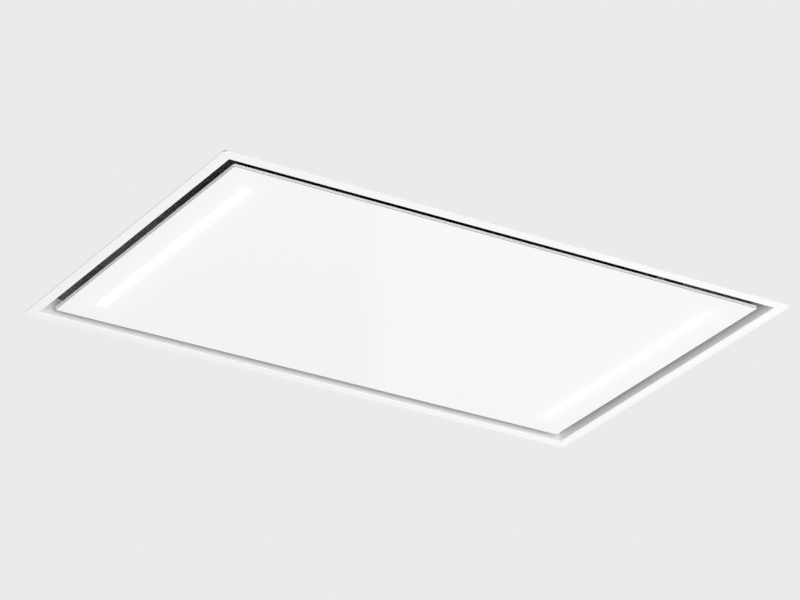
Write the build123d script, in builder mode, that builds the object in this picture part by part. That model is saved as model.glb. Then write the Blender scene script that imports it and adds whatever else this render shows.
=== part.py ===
from build123d import *
import os
from math import cos, radians, sin

os.makedirs("parts", exist_ok=True)

# Ceiling range hood with suction round the edge of a glass panel. Millimetres, +Z up.
# z = 0 is the ceiling's lower surface, under which the trim's flange lies, and the origin is the
# middle of the flange. +X runs along the long side. The panel's hinges are on the +Y side.

# ---------------------------------------------------------------- driving dimensions

# Trim frame: a flange under the ceiling and a return that goes up into the cut-out
flange_length = 900.0
flange_width = 580.0
flange_border = 17.0
flange_corner_radius = 10.0
trim_sheet = 1.5
trim_height = 28.0
fold_radius = 0.8
bend_radius = 1.0

# Glass panel and the steel tray behind it
panel_gap = 17.0
panel_recess = 1.2
panel_corner_radius = 3.0
glass_thickness = 3.2
glass_arris = 0.4
tape_thickness = 0.3
tape_width = 20.0
tape_inset = 6.0
tray_sheet = 0.8
tray_lip = 2.9
glass_play = 0.1
rim_inset = 30.0
rim_height = 12.0

# Light strips
strip_width = 16.0
strip_length = 422.0
strip_inset = 47.5
slot_clearance = 0.15
diffuser_lip = 2.3
diffuser_lip_thickness = 1.6
channel_play = 0.5
channel_wall = 1.2
channel_height = 13.0
channel_tab = 9.0
led_board_width = 12.0
led_board_thickness = 1.6
led_board_margin = 12.0
led_pitch = 16.0
led_length = 3.5
led_width = 2.8
led_height = 0.8

# Weld studs on the tray, and their nuts
stud_radius = 1.5
stud_height = 6.0
stud_clearance = 0.2
nut_across_flats = 5.5
nut_height = 2.4

# Panel hinges: an ear on the tray turns between two cheeks that hang from the deck
hinge_to_strip = 68.5
hinge_inset = 20.0
hinge_height = 22.0
hinge_eye_radius = 7.0
hinge_ear_thickness = 3.0
hinge_cheek_thickness = 2.0
hinge_side_gap = 0.4
hinge_pin_radius = 3.0
hinge_pin_clearance = 0.05
hinge_pin_head_radius = 4.5
hinge_pin_head = 1.5
hinge_foot_length = 44.0
hinge_foot_width = 18.0
hinge_foot_sheet = 2.0
hinge_cheek_width = 16.0

# Magnetic catches at the panel's near side
catch_to_strip = 68.5
catch_inset = 44.0
catch_width = 30.0
catch_sheet = 1.5
catch_foot = 16.0
magnet_radius = 9.0
magnet_height = 6.0
magnet_air_gap = 0.4
strike_length = 30.0
strike_width = 20.0
strike_thickness = 1.5

# Housing and the filter deck inside it
trim_clearance = 0.3
housing_sheet = 1.0
housing_fold = 2.0
housing_foot_gap = 3.0
deck_height = 95.0
deck_sheet = 1.0
deck_flange = 15.0
deck_clearance = 0.3
upper_chamber = 35.0

# Wiring channels on the deck's underside, over the light strips
wiring_channel_width = 49.0
wiring_channel_depth = 9.0
wiring_channel_sheet = 1.0
wiring_channel_margin = 30.0

# Grease filters
filter_margin = 20.0
filter_middle_gap = 8.0
filter_depth = 330.0
filter_thickness = 8.0
filter_clearance = 0.3
filter_border = 14.0
filter_groove = 9.0
mesh_thickness = 4.0
mesh_play = 0.2
mesh_bar = 3.0
mesh_columns = 12
mesh_rows = 12
deck_opening_inset = 18.0
ledge_play = 1.5
ledge_drop = 1.3
ledge_reach = 6.5
ledge_sheet = 1.0
ledge_flange = 10.0
ledge_end_margin = 20.0
filter_magnet_radius = 7.0
filter_magnet_height = 5.0
filter_magnet_inset = 9.0
filter_magnet_spacing = 220.0
handle_length = 60.0
handle_foot = 12.0
handle_drop = 13.0
handle_sheet = 1.0
handle_slot_length = 36.0
handle_slot_height = 5.0

# Fan wheel
wheel_radius = 100.0
wheel_eye_radius = 84.0
wheel_height = 82.0
wheel_floor_gap = 12.0
wheel_plate = 2.0
wheel_ring_height = 3.0
blade_count = 36
blade_thickness = 1.2
blade_sweep = 8.0
blade_bow = 3.0
hub_radius = 14.0
hub_height = 20.0
hub_below_plate = 10.0
shaft_radius = 4.0
shaft_play = 0.02
shaft_end = 4.0
wheel_nut_across_flats = 13.0
wheel_nut_height = 6.5

# Scroll: a spiral of four arcs round the wheel, each wider than the last
scroll_first_radius = 114.0
scroll_growth = 14.0
scroll_height = 124.0
scroll_wall = 2.0
scroll_outlet_reach = 150.0
scroll_tongue_angle = 135.0
scroll_outlet_lower = 60.0
scroll_lip = 5.0
scroll_eye_clearance = 1.0

# Inlet ring: a bell mouth from the chamber into the wheel
bell_radius = 10.5
inlet_sheet = 1.5
inlet_throat_radius = 81.5
inlet_flange = 8.0

# Motor above the wheel, hung on rubber mounts
motor_radius = 48.0
motor_height = 46.0
motor_wall = 2.0
motor_hub_gap = 2.0
motor_flange_radius = 56.0
motor_opening_gap = 6.0
motor_plate_radius = 80.0
motor_plate_sheet = 2.0
motor_plate_gap = 0.2
motor_vent_radius = 5.0
motor_vent_circle = 34.0
motor_vent_count = 8
rubber_radius = 8.0
rubber_height = 6.0
rubber_circle = 70.0
rubber_count = 4
bearing_radius = 11.0
bearing_height = 7.0
bearing_clearance = 0.03
bearing_seat_wall = 2.0
shaft_hole_radius = 6.0
rotor_radius = 28.0
rotor_gap = 0.6
rotor_height = 24.0
stator_slots = 12
stator_slot_width = 5.0
stator_back = 6.0

# Motor box round the scroll
box_sheet = 1.0
box_fold = 2.0
box_margin = 22.0
box_outlet_margin = 55.0
box_screw_inset = 75.0
box_flange = 12.0
cover_edge = 10.0
cover_play = 0.3
lead_hole_radius = 8.0
motor_top_gap = 12.0

# Outlet spigot with a pair of damper flaps
duct_corner_radius = 12.0
spigot_radius = 75.0
spigot_wall = 2.0
spigot_length = 50.0
spigot_flange = 10.0
spigot_flange_thickness = 3.0
spigot_flange_margin = 3.0
axle_radius = 2.0
axle_hole_clearance = 0.1
axle_inset = 7.0
flap_clearance = 1.5
flap_thickness = 1.0
sleeve_wall = 1.5
sleeve_clearance = 0.05
sleeve_gap = 0.6
sleeve_count = 4
sleeve_span = 120.0

# Control box
control_gap = 24.0
control_length = 120.0
control_width = 170.0
control_height = 46.0
control_sheet = 1.2
control_fold = 2.0
control_cover_edge = 8.0
board_length = 96.0
board_width = 92.0
board_thickness = 1.6
board_rise = 8.0
standoff_radius = 3.5
board_corner = 6.0
board_margin = 1.0
driver_length = 96.0
driver_width = 38.0
driver_height = 22.0
transformer_length = 34.0
transformer_width = 30.0
transformer_height = 26.0
relay_length = 20.0
relay_width = 10.0
relay_height = 16.0
relay_count = 3
relay_gap = 3.0
capacitor_radius = 11.0
capacitor_length = 40.0
part_edge = 3.0
terminal_length = 44.0
terminal_width = 14.0
terminal_height = 14.0
terminal_ways = 5
terminal_screw_radius = 2.2
gland_bore_radius = 4.5
gland_body_radius = 8.0
gland_nut_radius = 11.0
gland_nut_height = 8.0
gland_reach = 14.0
bush_collar = 3.0
bush_wall = 2.0

# Suspension brackets for threaded rods
bracket_inset_x = 76.0
bracket_inset_y = 62.0
bracket_width = 44.0
bracket_sheet = 2.0
bracket_foot = 32.0
bracket_rise = 40.0
bracket_tab = 32.0
rod_slot_width = 8.5
rod_slot_length = 20.0

# Screws
screw_radius = 2.0
screw_clearance = 0.2
screw_head_radius = 3.8
screw_head_height = 2.2
screw_length = 8.0
screw_edge = 6.0
trim_screw_height = 19.0
trim_screw_pitch = 280.0

# ---------------------------------------------------------------- worked-out sizes and places

opening_length = flange_length - 2 * flange_border
opening_width = flange_width - 2 * flange_border
panel_length = opening_length - 2 * panel_gap
panel_width = opening_width - 2 * panel_gap

flange_face_z = -trim_sheet
face_z = flange_face_z + panel_recess
glass_back_z = face_z + glass_thickness
tray_z = glass_back_z + tape_thickness
tray_top_z = tray_z + tray_sheet
tray_length = panel_length + 2 * (glass_play + tray_sheet)
tray_width = panel_width + 2 * (glass_play + tray_sheet)

strip_x = panel_length / 2 - strip_inset
channel_border = diffuser_lip + channel_play + channel_wall
channel_width = strip_width + 2 * channel_border
channel_length = strip_length + 2 * channel_border
channel_top_z = tray_top_z + channel_height
channel_stud_y = channel_length / 2 + channel_tab / 2

hinge_x = strip_x - hinge_to_strip
pivot_y = panel_width / 2 - hinge_inset
hinge_stud_offset = hinge_foot_length / 2 - nut_across_flats
hinge_cheek_offset = hinge_ear_thickness / 2 + hinge_side_gap + hinge_cheek_thickness / 2
hinge_outer = hinge_cheek_offset + hinge_cheek_thickness / 2

catch_x = strip_x - catch_to_strip
catch_y = -panel_width / 2 + catch_inset
strike_top_z = tray_top_z + strike_thickness
magnet_z = strike_top_z + magnet_air_gap
magnet_top_z = magnet_z + magnet_height

housing_inner_length = opening_length + 2 * (trim_sheet + trim_clearance)
housing_inner_width = opening_width + 2 * (trim_sheet + trim_clearance)
housing_length = housing_inner_length + 2 * housing_sheet
housing_width = housing_inner_width + 2 * housing_sheet
housing_top_z = deck_height + deck_sheet + upper_chamber + housing_sheet
roof_z = housing_top_z - housing_sheet
deck_length = housing_inner_length - 2 * deck_clearance
deck_width = housing_inner_width - 2 * deck_clearance
deck_top_z = deck_height + deck_sheet

filter_edge_x = strip_x - wiring_channel_width / 2 - filter_margin
filter_length = filter_edge_x - filter_middle_gap / 2
filter_x = filter_middle_gap / 2 + filter_length / 2
filter_top_z = deck_height - filter_clearance
filter_z = filter_top_z - filter_thickness
filter_middle_z = filter_z + filter_thickness / 2
mesh_inset = filter_border - filter_groove
mesh_length = filter_length - 2 * (mesh_inset + mesh_play)
mesh_width = filter_depth - 2 * (mesh_inset + mesh_play)
ledge_y = filter_depth / 2 + ledge_play

wheel_z = housing_top_z + scroll_wall + wheel_floor_gap
wheel_plate_z = wheel_z + wheel_height - wheel_plate
hub_z = wheel_plate_z - hub_below_plate
hub_top_z = hub_z + hub_height
wheel_nut_z = hub_z - wheel_nut_height
shaft_z = wheel_nut_z - shaft_end

scroll_top_z = housing_top_z + scroll_height
scroll_split_z = housing_top_z + scroll_height / 2
half_growth = scroll_growth / 2
scroll_second_radius = scroll_first_radius + scroll_growth
scroll_third_radius = scroll_second_radius + scroll_growth
scroll_last_radius = scroll_third_radius + scroll_growth
scroll_eye_radius = inlet_throat_radius + bell_radius + scroll_eye_clearance
scroll_near = -half_growth - scroll_second_radius
scroll_right = half_growth + scroll_third_radius
scroll_far = half_growth + scroll_last_radius
outlet_width = scroll_far - scroll_outlet_lower
outlet_y = (scroll_far + scroll_outlet_lower) / 2
outlet_height = scroll_height - 2 * scroll_wall
outlet_z = housing_top_z + scroll_height / 2
outlet_x = -scroll_outlet_reach - scroll_wall

motor_z = hub_top_z + motor_hub_gap
motor_top_z = motor_z + motor_height
motor_plate_z = scroll_top_z + rubber_height
motor_flange_z = motor_plate_z + motor_plate_sheet
low_bearing_z = motor_z + motor_wall
high_bearing_z = motor_top_z - motor_wall - bearing_height
rotor_z = (low_bearing_z + high_bearing_z + bearing_height - rotor_height) / 2
shaft_top_z = motor_top_z + shaft_end
stator_radius = motor_radius - motor_wall

spigot_flange_radius = spigot_radius + spigot_flange
spigot_bore_radius = spigot_radius - spigot_wall
spigot_need = 2 * (spigot_flange_radius + spigot_flange_margin) + cover_edge
motor_need = shaft_top_z + motor_top_gap - housing_top_z
box_height = max(spigot_need, motor_need)
box_top_z = housing_top_z + box_height
spigot_z = housing_top_z + (box_height - cover_edge) / 2
spigot_y = outlet_y
box_left = outlet_x - box_outlet_margin
box_right = scroll_right + scroll_wall + box_margin
box_near = scroll_near - scroll_wall - box_margin
box_far = max(
    scroll_far + scroll_wall + box_margin,
    spigot_y + spigot_flange_radius + spigot_flange_margin,
)
box_length = box_right - box_left
box_width = box_far - box_near
box_x = (box_left + box_right) / 2
box_y = (box_near + box_far) / 2

axle_x = box_left - spigot_flange_thickness - axle_inset
flap_radius = spigot_bore_radius - flap_clearance
sleeve_bore_radius = axle_radius + sleeve_clearance
sleeve_radius = sleeve_bore_radius + sleeve_wall

control_x = box_right + box_flange + control_gap + control_length / 2
control_top_z = housing_top_z + control_height
control_floor_z = housing_top_z + control_sheet
board_z = control_floor_z + board_rise
control_post = 2 * screw_edge
board_y = -(control_width - board_width) / 2 + control_post + board_margin
driver_y = (control_width - driver_width) / 2 - control_post - board_margin
control_screw_y = (board_y + board_width / 2 + driver_y - driver_width / 2) / 2
gland_z = housing_top_z + control_height / 2

bracket_x = flange_length / 2 - bracket_inset_x
bracket_y = flange_width / 2 - bracket_inset_y

screw_hole_radius = screw_radius + screw_clearance

# Everything stands on its own origin, or hangs from it
STAND = (Align.CENTER, Align.CENTER, Align.MIN)
HANG = (Align.CENTER, Align.CENTER, Align.MAX)
FROM_LEFT = (Align.MIN, Align.CENTER)


def level(z):
    """A sketch plane at a height."""
    return Plane.XY.offset(z)


def seat(x, y, z, normal=(0, 0, 1)):
    """A place on a surface, with the way out of the surface as its +Z."""
    return Plane(origin=(x, y, z), z_dir=normal).location


def add_screws(seats, length=screw_length):
    """Pan-head screws that stand on their seats and go in against the seats' +Z."""
    with Locations(*seats):
        Cylinder(screw_head_radius, screw_head_height, align=STAND)
        Cylinder(screw_radius, length, align=HANG)


def drill(seats, radius, reach):
    """Round holes through whatever lies within reach of each seat."""
    with Locations(*seats):
        Cylinder(radius, 2 * reach, mode=Mode.SUBTRACT)


def spread(length, pitch):
    """Places at an even pitch, the same either side of the middle, that stay inside a length."""
    steps = int(length / 2 / pitch)
    return [pitch * step for step in range(-steps, steps + 1)]


def add_bent_sheet(plane, points, radii, sheet, side, width):
    """A strip of sheet bent along a line of points, as wide as given, half either side of the plane."""
    with BuildSketch(plane) as profile:
        with BuildLine():
            FilletPolyline(*points, radius=radii)
            offset(amount=sheet, side=side)
        make_face()
    extrude(profile.sketch, amount=width / 2, both=True)


SIDES = (("left", -1), ("right", 1))

# ---------------------------------------------------------------- screw places

trim_seats = []
for x in spread(opening_length - 2 * screw_edge, trim_screw_pitch):
    trim_seats.append(seat(x, -opening_width / 2, trim_screw_height, (0, 1, 0)))
    trim_seats.append(seat(x, opening_width / 2, trim_screw_height, (0, -1, 0)))
for y in (-opening_width / 4, opening_width / 4):
    trim_seats.append(seat(-opening_length / 2, y, trim_screw_height, (1, 0, 0)))
    trim_seats.append(seat(opening_length / 2, y, trim_screw_height, (-1, 0, 0)))

deck_screw_z = deck_top_z + deck_flange / 2
wall_seats = []
for x in spread(housing_length - 2 * screw_edge, trim_screw_pitch):
    wall_seats.append(seat(x, -housing_width / 2, deck_screw_z, (0, -1, 0)))
    wall_seats.append(seat(x, housing_width / 2, deck_screw_z, (0, 1, 0)))
for y in (-housing_width / 4, housing_width / 4):
    wall_seats.append(seat(-housing_length / 2, y, deck_screw_z, (-1, 0, 0)))
    wall_seats.append(seat(housing_length / 2, y, deck_screw_z, (1, 0, 0)))

hinge_foot_z = deck_height - hinge_foot_sheet
catch_foot_z = deck_height - catch_sheet
catch_web_y = catch_y - magnet_radius - catch_sheet / 2
catch_foot_y = catch_web_y + catch_foot / 2
hinge_seats = []
catch_seats = []
for _, side in SIDES:
    for end in (-1, 1):
        x = side * hinge_x + end * hinge_stud_offset
        hinge_seats.append(seat(x, pivot_y, hinge_foot_z, (0, 0, -1)))
        x = side * catch_x + end * catch_width / 4
        catch_seats.append(seat(x, catch_foot_y, catch_foot_z, (0, 0, -1)))

box_flange_z = housing_top_z + box_sheet
box_flange_seats = []
for x in (box_left - box_flange / 2, box_right + box_flange / 2):
    for y in (box_near + box_screw_inset, box_far - box_screw_inset):
        box_flange_seats.append(seat(x, y, box_flange_z))
for y in (box_near - box_flange / 2, box_far + box_flange / 2):
    for x in (box_left + box_screw_inset, box_x, box_right - box_screw_inset):
        box_flange_seats.append(seat(x, y, box_flange_z))

cover_top_z = box_top_z + box_sheet
cover_seats = []
for x in (box_left + box_flange / 2, box_right - box_flange / 2):
    for y in (box_near + box_screw_inset, box_far - box_screw_inset):
        cover_seats.append(seat(x, y, cover_top_z))
for y in (box_near + box_flange / 2, box_far - box_flange / 2):
    for x in (box_left + box_screw_inset, box_right - box_screw_inset):
        cover_seats.append(seat(x, y, cover_top_z))

bracket_foot_x = bracket_x - bracket_foot / 2
bracket_seats = []
for _, side in SIDES:
    for end in (-1, 1):
        for across in (-1, 1):
            y = end * bracket_y + across * bracket_width / 4
            bracket_seats.append(seat(side * bracket_foot_x, y, housing_top_z + bracket_sheet))

control_top_seats = []
control_floor_seats = []
control_post_y = (control_width - control_post) / 2
for end in (-1, 1):
    control_top_seats.append(seat(control_x, end * control_post_y, control_top_z + control_sheet))
    control_floor_seats.append(seat(control_x + end * control_length / 4, control_screw_y, control_floor_z))

spigot_seats = []
for turn in (45, 135, 225, 315):
    y = spigot_y + (spigot_radius + spigot_flange / 2) * cos(radians(turn))
    z = spigot_z + (spigot_radius + spigot_flange / 2) * sin(radians(turn))
    spigot_seats.append(seat(box_left - spigot_flange_thickness, y, z, (-1, 0, 0)))

# ---------------------------------------------------------------- trim frame

with BuildPart() as trim_frame:
    with BuildSketch(level(flange_face_z)):
        RectangleRounded(flange_length, flange_width, flange_corner_radius)
        Rectangle(opening_length, opening_width, mode=Mode.SUBTRACT)
    extrude(amount=trim_sheet)
    with BuildSketch(level(flange_face_z)):
        Rectangle(opening_length + 2 * trim_sheet, opening_width + 2 * trim_sheet)
        Rectangle(opening_length, opening_width, mode=Mode.SUBTRACT)
    extrude(amount=trim_height)
    flange_face = trim_frame.faces().sort_by(Axis.Z)[0]
    fillet(flange_face.inner_wires()[0].edges(), fold_radius)
    drill(trim_seats, screw_hole_radius, 2 * trim_sheet)
trim_frame.part.label = "trim_frame"
export_step(trim_frame.part, "parts/trim_frame.step")

# ---------------------------------------------------------------- panel: glass, tape and tray

strip_places = [(-strip_x, 0), (strip_x, 0)]
slot_width = strip_width + 2 * slot_clearance
slot_length = strip_length + 2 * slot_clearance

with BuildPart() as glass_panel:
    with BuildSketch(level(face_z)):
        RectangleRounded(panel_length, panel_width, panel_corner_radius)
        with Locations(*strip_places):
            Rectangle(slot_width, slot_length, mode=Mode.SUBTRACT)
    extrude(amount=glass_thickness)
    glass_face = glass_panel.faces().sort_by(Axis.Z)[0]
    chamfer(glass_face.outer_wire().edges(), glass_arris)
glass_panel.part.label = "glass_panel"
export_step(glass_panel.part, "parts/glass_panel.step")

tape_length = panel_length - 2 * tape_inset
tape_breadth = panel_width - 2 * tape_inset
with BuildPart() as bonding_tape:
    with BuildSketch(level(glass_back_z)):
        Rectangle(tape_length, tape_breadth)
        Rectangle(tape_length - 2 * tape_width, tape_breadth - 2 * tape_width, mode=Mode.SUBTRACT)
        with Locations((-panel_length / 6, 0), (panel_length / 6, 0)):
            Rectangle(tape_width, tape_breadth)
    extrude(amount=tape_thickness)
bonding_tape.part.label = "bonding_tape"
export_step(bonding_tape.part, "parts/bonding_tape.step")

hinge_studs = []
for _, side in SIDES:
    for end in (-1, 1):
        hinge_studs.append((side * hinge_x + end * hinge_stud_offset, pivot_y))
channel_studs = [(side * strip_x, end * channel_stud_y) for _, side in SIDES for end in (-1, 1)]
rim_length = panel_length - 2 * rim_inset
rim_width = panel_width - 2 * rim_inset

with BuildPart() as panel_tray:
    with BuildSketch(level(tray_z)):
        RectangleRounded(tray_length, tray_width, panel_corner_radius + glass_play + tray_sheet)
        with Locations(*strip_places):
            Rectangle(slot_width, slot_length, mode=Mode.SUBTRACT)
    extrude(amount=tray_sheet)
    with BuildSketch(level(tray_top_z - tray_lip)):
        RectangleRounded(tray_length, tray_width, panel_corner_radius + glass_play + tray_sheet)
        RectangleRounded(
            panel_length + 2 * glass_play,
            panel_width + 2 * glass_play,
            panel_corner_radius + glass_play,
            mode=Mode.SUBTRACT,
        )
    extrude(amount=tray_lip)
    with BuildSketch(level(tray_top_z)):
        Rectangle(rim_length, rim_width)
        Rectangle(rim_length - 2 * tray_sheet, rim_width - 2 * tray_sheet, mode=Mode.SUBTRACT)
    extrude(amount=rim_height)
    with BuildSketch(level(tray_top_z)):
        with Locations(*hinge_studs, *channel_studs):
            Circle(stud_radius)
    extrude(amount=stud_height)
panel_tray.part.label = "panel_tray"
export_step(panel_tray.part, "parts/panel_tray.step")

with BuildPart() as strike_plates:
    with BuildSketch(level(tray_top_z)):
        with Locations((-catch_x, catch_y), (catch_x, catch_y)):
            RectangleRounded(strike_length, strike_width, strike_thickness)
    extrude(amount=strike_thickness)
strike_plates.part.label = "strike_plates"
export_step(strike_plates.part, "parts/strike_plates.step")

# ---------------------------------------------------------------- lights in the panel

led_board_length = strip_length - 2 * led_board_margin
led_board_top_z = channel_top_z - channel_wall
led_board_z = led_board_top_z - led_board_thickness
led_places = spread(led_board_length - 2 * led_length, led_pitch)

for name, side in SIDES:
    x = side * strip_x

    with BuildPart() as light_diffuser:
        with BuildSketch(level(tray_z)):
            with Locations((x, 0)):
                Rectangle(strip_width, strip_length)
        extrude(amount=tray_sheet)
        with BuildSketch(level(tray_top_z)):
            with Locations((x, 0)):
                Rectangle(strip_width + 2 * diffuser_lip, strip_length + 2 * diffuser_lip)
        extrude(amount=diffuser_lip_thickness)
    light_diffuser.part.label = f"light_diffuser_{name}"
    export_step(light_diffuser.part, f"parts/light_diffuser_{name}.step")

    with BuildPart() as light_channel:
        with BuildSketch(level(tray_top_z)):
            with Locations((x, 0)):
                Rectangle(channel_width, channel_length)
        extrude(amount=channel_height)
        with BuildSketch(level(tray_top_z)):
            with Locations((x, 0)):
                Rectangle(channel_width - 2 * channel_wall, channel_length - 2 * channel_wall)
        extrude(amount=channel_height - channel_wall, mode=Mode.SUBTRACT)
        with BuildSketch(level(tray_top_z)):
            with Locations((x, -channel_stud_y), (x, channel_stud_y)):
                Rectangle(channel_width, channel_tab)
                Circle(stud_radius + stud_clearance, mode=Mode.SUBTRACT)
        extrude(amount=channel_wall)
    light_channel.part.label = f"light_channel_{name}"
    export_step(light_channel.part, f"parts/light_channel_{name}.step")

    with BuildPart() as led_board:
        with BuildSketch(level(led_board_z)):
            with Locations((x, 0)):
                Rectangle(led_board_width, led_board_length)
        extrude(amount=led_board_thickness)
        with BuildSketch(level(led_board_z - led_height)):
            with Locations(*[(x, y) for y in led_places]):
                Rectangle(led_width, led_length)
        extrude(amount=led_height)
    led_board.part.label = f"led_board_{name}"
    export_step(led_board.part, f"parts/led_board_{name}.step")

# ---------------------------------------------------------------- panel hinges

hinge_places = [(side * hinge_x, pivot_y) for _, side in SIDES]
with BuildPart() as hinge_arms:
    with BuildSketch(level(tray_top_z)):
        with Locations(*hinge_places):
            Rectangle(hinge_foot_length, hinge_foot_width)
        with Locations(*hinge_studs):
            Circle(stud_radius + stud_clearance, mode=Mode.SUBTRACT)
    extrude(amount=hinge_foot_sheet)
    eye_height = hinge_height - tray_top_z
    for _, side in SIDES:
        ear_x = side * hinge_x - hinge_ear_thickness / 2
        ear_plane = Plane(origin=(ear_x, pivot_y, tray_top_z), x_dir=(0, 1, 0), z_dir=(1, 0, 0))
        with BuildSketch(ear_plane):
            with Locations((0, eye_height)):
                Circle(hinge_eye_radius)
            with Locations((0, eye_height / 2)):
                Rectangle(2 * hinge_eye_radius, eye_height)
            with Locations((0, eye_height)):
                Circle(hinge_pin_radius + hinge_pin_clearance, mode=Mode.SUBTRACT)
        extrude(amount=hinge_ear_thickness)
hinge_arms.part.label = "hinge_arms"
export_step(hinge_arms.part, "parts/hinge_arms.step")

cheek_height = hinge_foot_z - hinge_height
with BuildPart() as hinge_brackets:
    with BuildSketch(level(hinge_foot_z)):
        with Locations(*hinge_places):
            Rectangle(hinge_foot_length, hinge_cheek_width)
    extrude(amount=hinge_foot_sheet)
    for _, side in SIDES:
        for end in (-1, 1):
            cheek_x = side * hinge_x + end * hinge_cheek_offset - hinge_cheek_thickness / 2
            cheek_plane = Plane(origin=(cheek_x, pivot_y, hinge_height), x_dir=(0, 1, 0), z_dir=(1, 0, 0))
            with BuildSketch(cheek_plane):
                Circle(hinge_cheek_width / 2)
                with Locations((0, cheek_height / 2)):
                    Rectangle(hinge_cheek_width, cheek_height)
                Circle(hinge_pin_radius, mode=Mode.SUBTRACT)
            extrude(amount=hinge_cheek_thickness)
    drill(hinge_seats, screw_hole_radius, 2 * hinge_foot_sheet)
hinge_brackets.part.label = "hinge_brackets"
export_step(hinge_brackets.part, "parts/hinge_brackets.step")

pin_length = 2 * hinge_outer
with BuildPart() as hinge_pins:
    for _, side in SIDES:
        with Locations(seat(side * hinge_x, pivot_y, hinge_height, (1, 0, 0))):
            Cylinder(hinge_pin_radius, pin_length)
        for end in (-1, 1):
            head_x = side * hinge_x + end * hinge_outer
            with Locations(seat(head_x, pivot_y, hinge_height, (end, 0, 0))):
                Cylinder(hinge_pin_head_radius, hinge_pin_head, align=STAND)
hinge_pins.part.label = "hinge_pins"
export_step(hinge_pins.part, "parts/hinge_pins.step")

panel_nut_places = [(x, y, tray_top_z + hinge_foot_sheet) for x, y in hinge_studs]
panel_nut_places += [(x, y, tray_top_z + channel_wall) for x, y in channel_studs]
with BuildPart() as panel_nuts:
    for x, y, z in panel_nut_places:
        with BuildSketch(level(z)):
            with Locations((x, y)):
                RegularPolygon(nut_across_flats / 2, 6, major_radius=False)
                Circle(stud_radius, mode=Mode.SUBTRACT)
        extrude(amount=nut_height)
panel_nuts.part.label = "panel_nuts"
export_step(panel_nuts.part, "parts/panel_nuts.step")

# ---------------------------------------------------------------- magnetic catches

catch_outer_y = catch_web_y - catch_sheet / 2
catch_line = (
    (catch_y + magnet_radius + catch_sheet / 2, magnet_top_z),
    (catch_outer_y, magnet_top_z),
    (catch_outer_y, deck_height),
    (catch_outer_y + catch_foot, deck_height),
)
catch_radii = (bend_radius + catch_sheet, bend_radius + catch_sheet)
with BuildPart() as catch_brackets:
    for _, side in SIDES:
        middle = Plane(origin=(side * catch_x, 0, 0), x_dir=(0, 1, 0), z_dir=(1, 0, 0))
        add_bent_sheet(middle, catch_line, catch_radii, catch_sheet, Side.RIGHT, catch_width)
    drill(catch_seats, screw_hole_radius, 2 * catch_sheet)
catch_brackets.part.label = "catch_brackets"
export_step(catch_brackets.part, "parts/catch_brackets.step")

with BuildPart() as catch_magnets:
    with BuildSketch(level(magnet_z)):
        with Locations((-catch_x, catch_y), (catch_x, catch_y)):
            Circle(magnet_radius)
    extrude(amount=magnet_height)
catch_magnets.part.label = "catch_magnets"
export_step(catch_magnets.part, "parts/catch_magnets.step")

# ---------------------------------------------------------------- housing

with BuildPart() as housing:
    with BuildSketch(level(housing_foot_gap)):
        RectangleRounded(housing_length, housing_width, housing_fold)
    extrude(amount=housing_top_z - housing_foot_gap)
    fillet(housing.faces().sort_by(Axis.Z)[-1].edges(), housing_fold)
    with BuildSketch(level(housing_foot_gap)):
        Rectangle(housing_inner_length, housing_inner_width)
    extrude(amount=roof_z - housing_foot_gap, mode=Mode.SUBTRACT)
    with BuildSketch(level(roof_z)):
        Circle(inlet_throat_radius + bell_radius)
    extrude(amount=housing_sheet, mode=Mode.SUBTRACT)
    drill(trim_seats, screw_hole_radius, trim_sheet + trim_clearance + 2 * housing_sheet)
    drill(wall_seats, screw_hole_radius, 2 * housing_sheet)
    drill(box_flange_seats, screw_hole_radius, 3 * box_sheet)
    drill(bracket_seats, screw_hole_radius, bracket_sheet + 2 * housing_sheet)
    drill(control_floor_seats, screw_hole_radius, control_sheet + 2 * housing_sheet)
housing.part.label = "housing"
export_step(housing.part, "parts/housing.step")

filter_places = [(side * filter_x, 0) for _, side in SIDES]
deck_opening_length = filter_length - 2 * deck_opening_inset
deck_opening_depth = filter_depth - 2 * deck_opening_inset
with BuildPart() as filter_deck:
    with BuildSketch(level(deck_height)):
        Rectangle(deck_length, deck_width)
        with Locations(*filter_places):
            Rectangle(deck_opening_length, deck_opening_depth, mode=Mode.SUBTRACT)
    extrude(amount=deck_sheet)
    with BuildSketch(level(deck_top_z)):
        Rectangle(deck_length, deck_width)
        Rectangle(deck_length - 2 * deck_sheet, deck_width - 2 * deck_sheet, mode=Mode.SUBTRACT)
    extrude(amount=deck_flange)
    drill(wall_seats, screw_hole_radius, housing_sheet + deck_clearance + 2 * deck_sheet)
    drill(hinge_seats, screw_hole_radius, hinge_foot_sheet + 2 * deck_sheet)
    drill(catch_seats, screw_hole_radius, catch_sheet + 2 * deck_sheet)
filter_deck.part.label = "filter_deck"
export_step(filter_deck.part, "parts/filter_deck.step")

wiring_channel_length = housing_inner_width - 2 * wiring_channel_margin
wiring_channel_z = deck_height - wiring_channel_depth
with BuildPart() as wiring_channels:
    for _, side in SIDES:
        x = side * strip_x
        with BuildSketch(level(wiring_channel_z)):
            with Locations((x, 0)):
                Rectangle(wiring_channel_width, wiring_channel_length)
        extrude(amount=wiring_channel_depth)
    inner_channel_width = wiring_channel_width - 2 * wiring_channel_sheet
    inner_channel_length = wiring_channel_length - 2 * wiring_channel_sheet
    with BuildSketch(level(wiring_channel_z + wiring_channel_sheet)):
        with Locations(*strip_places):
            Rectangle(inner_channel_width, inner_channel_length)
    extrude(amount=wiring_channel_depth, mode=Mode.SUBTRACT)
wiring_channels.part.label = "wiring_channels"
export_step(wiring_channels.part, "parts/wiring_channels.step")

# ---------------------------------------------------------------- grease filters

filter_window_length = filter_length - 2 * filter_border
filter_window_depth = filter_depth - 2 * filter_border
mesh_cell_length = (filter_window_length - mesh_bar) / mesh_columns
mesh_cell_width = (filter_window_depth - mesh_bar) / mesh_rows

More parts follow.
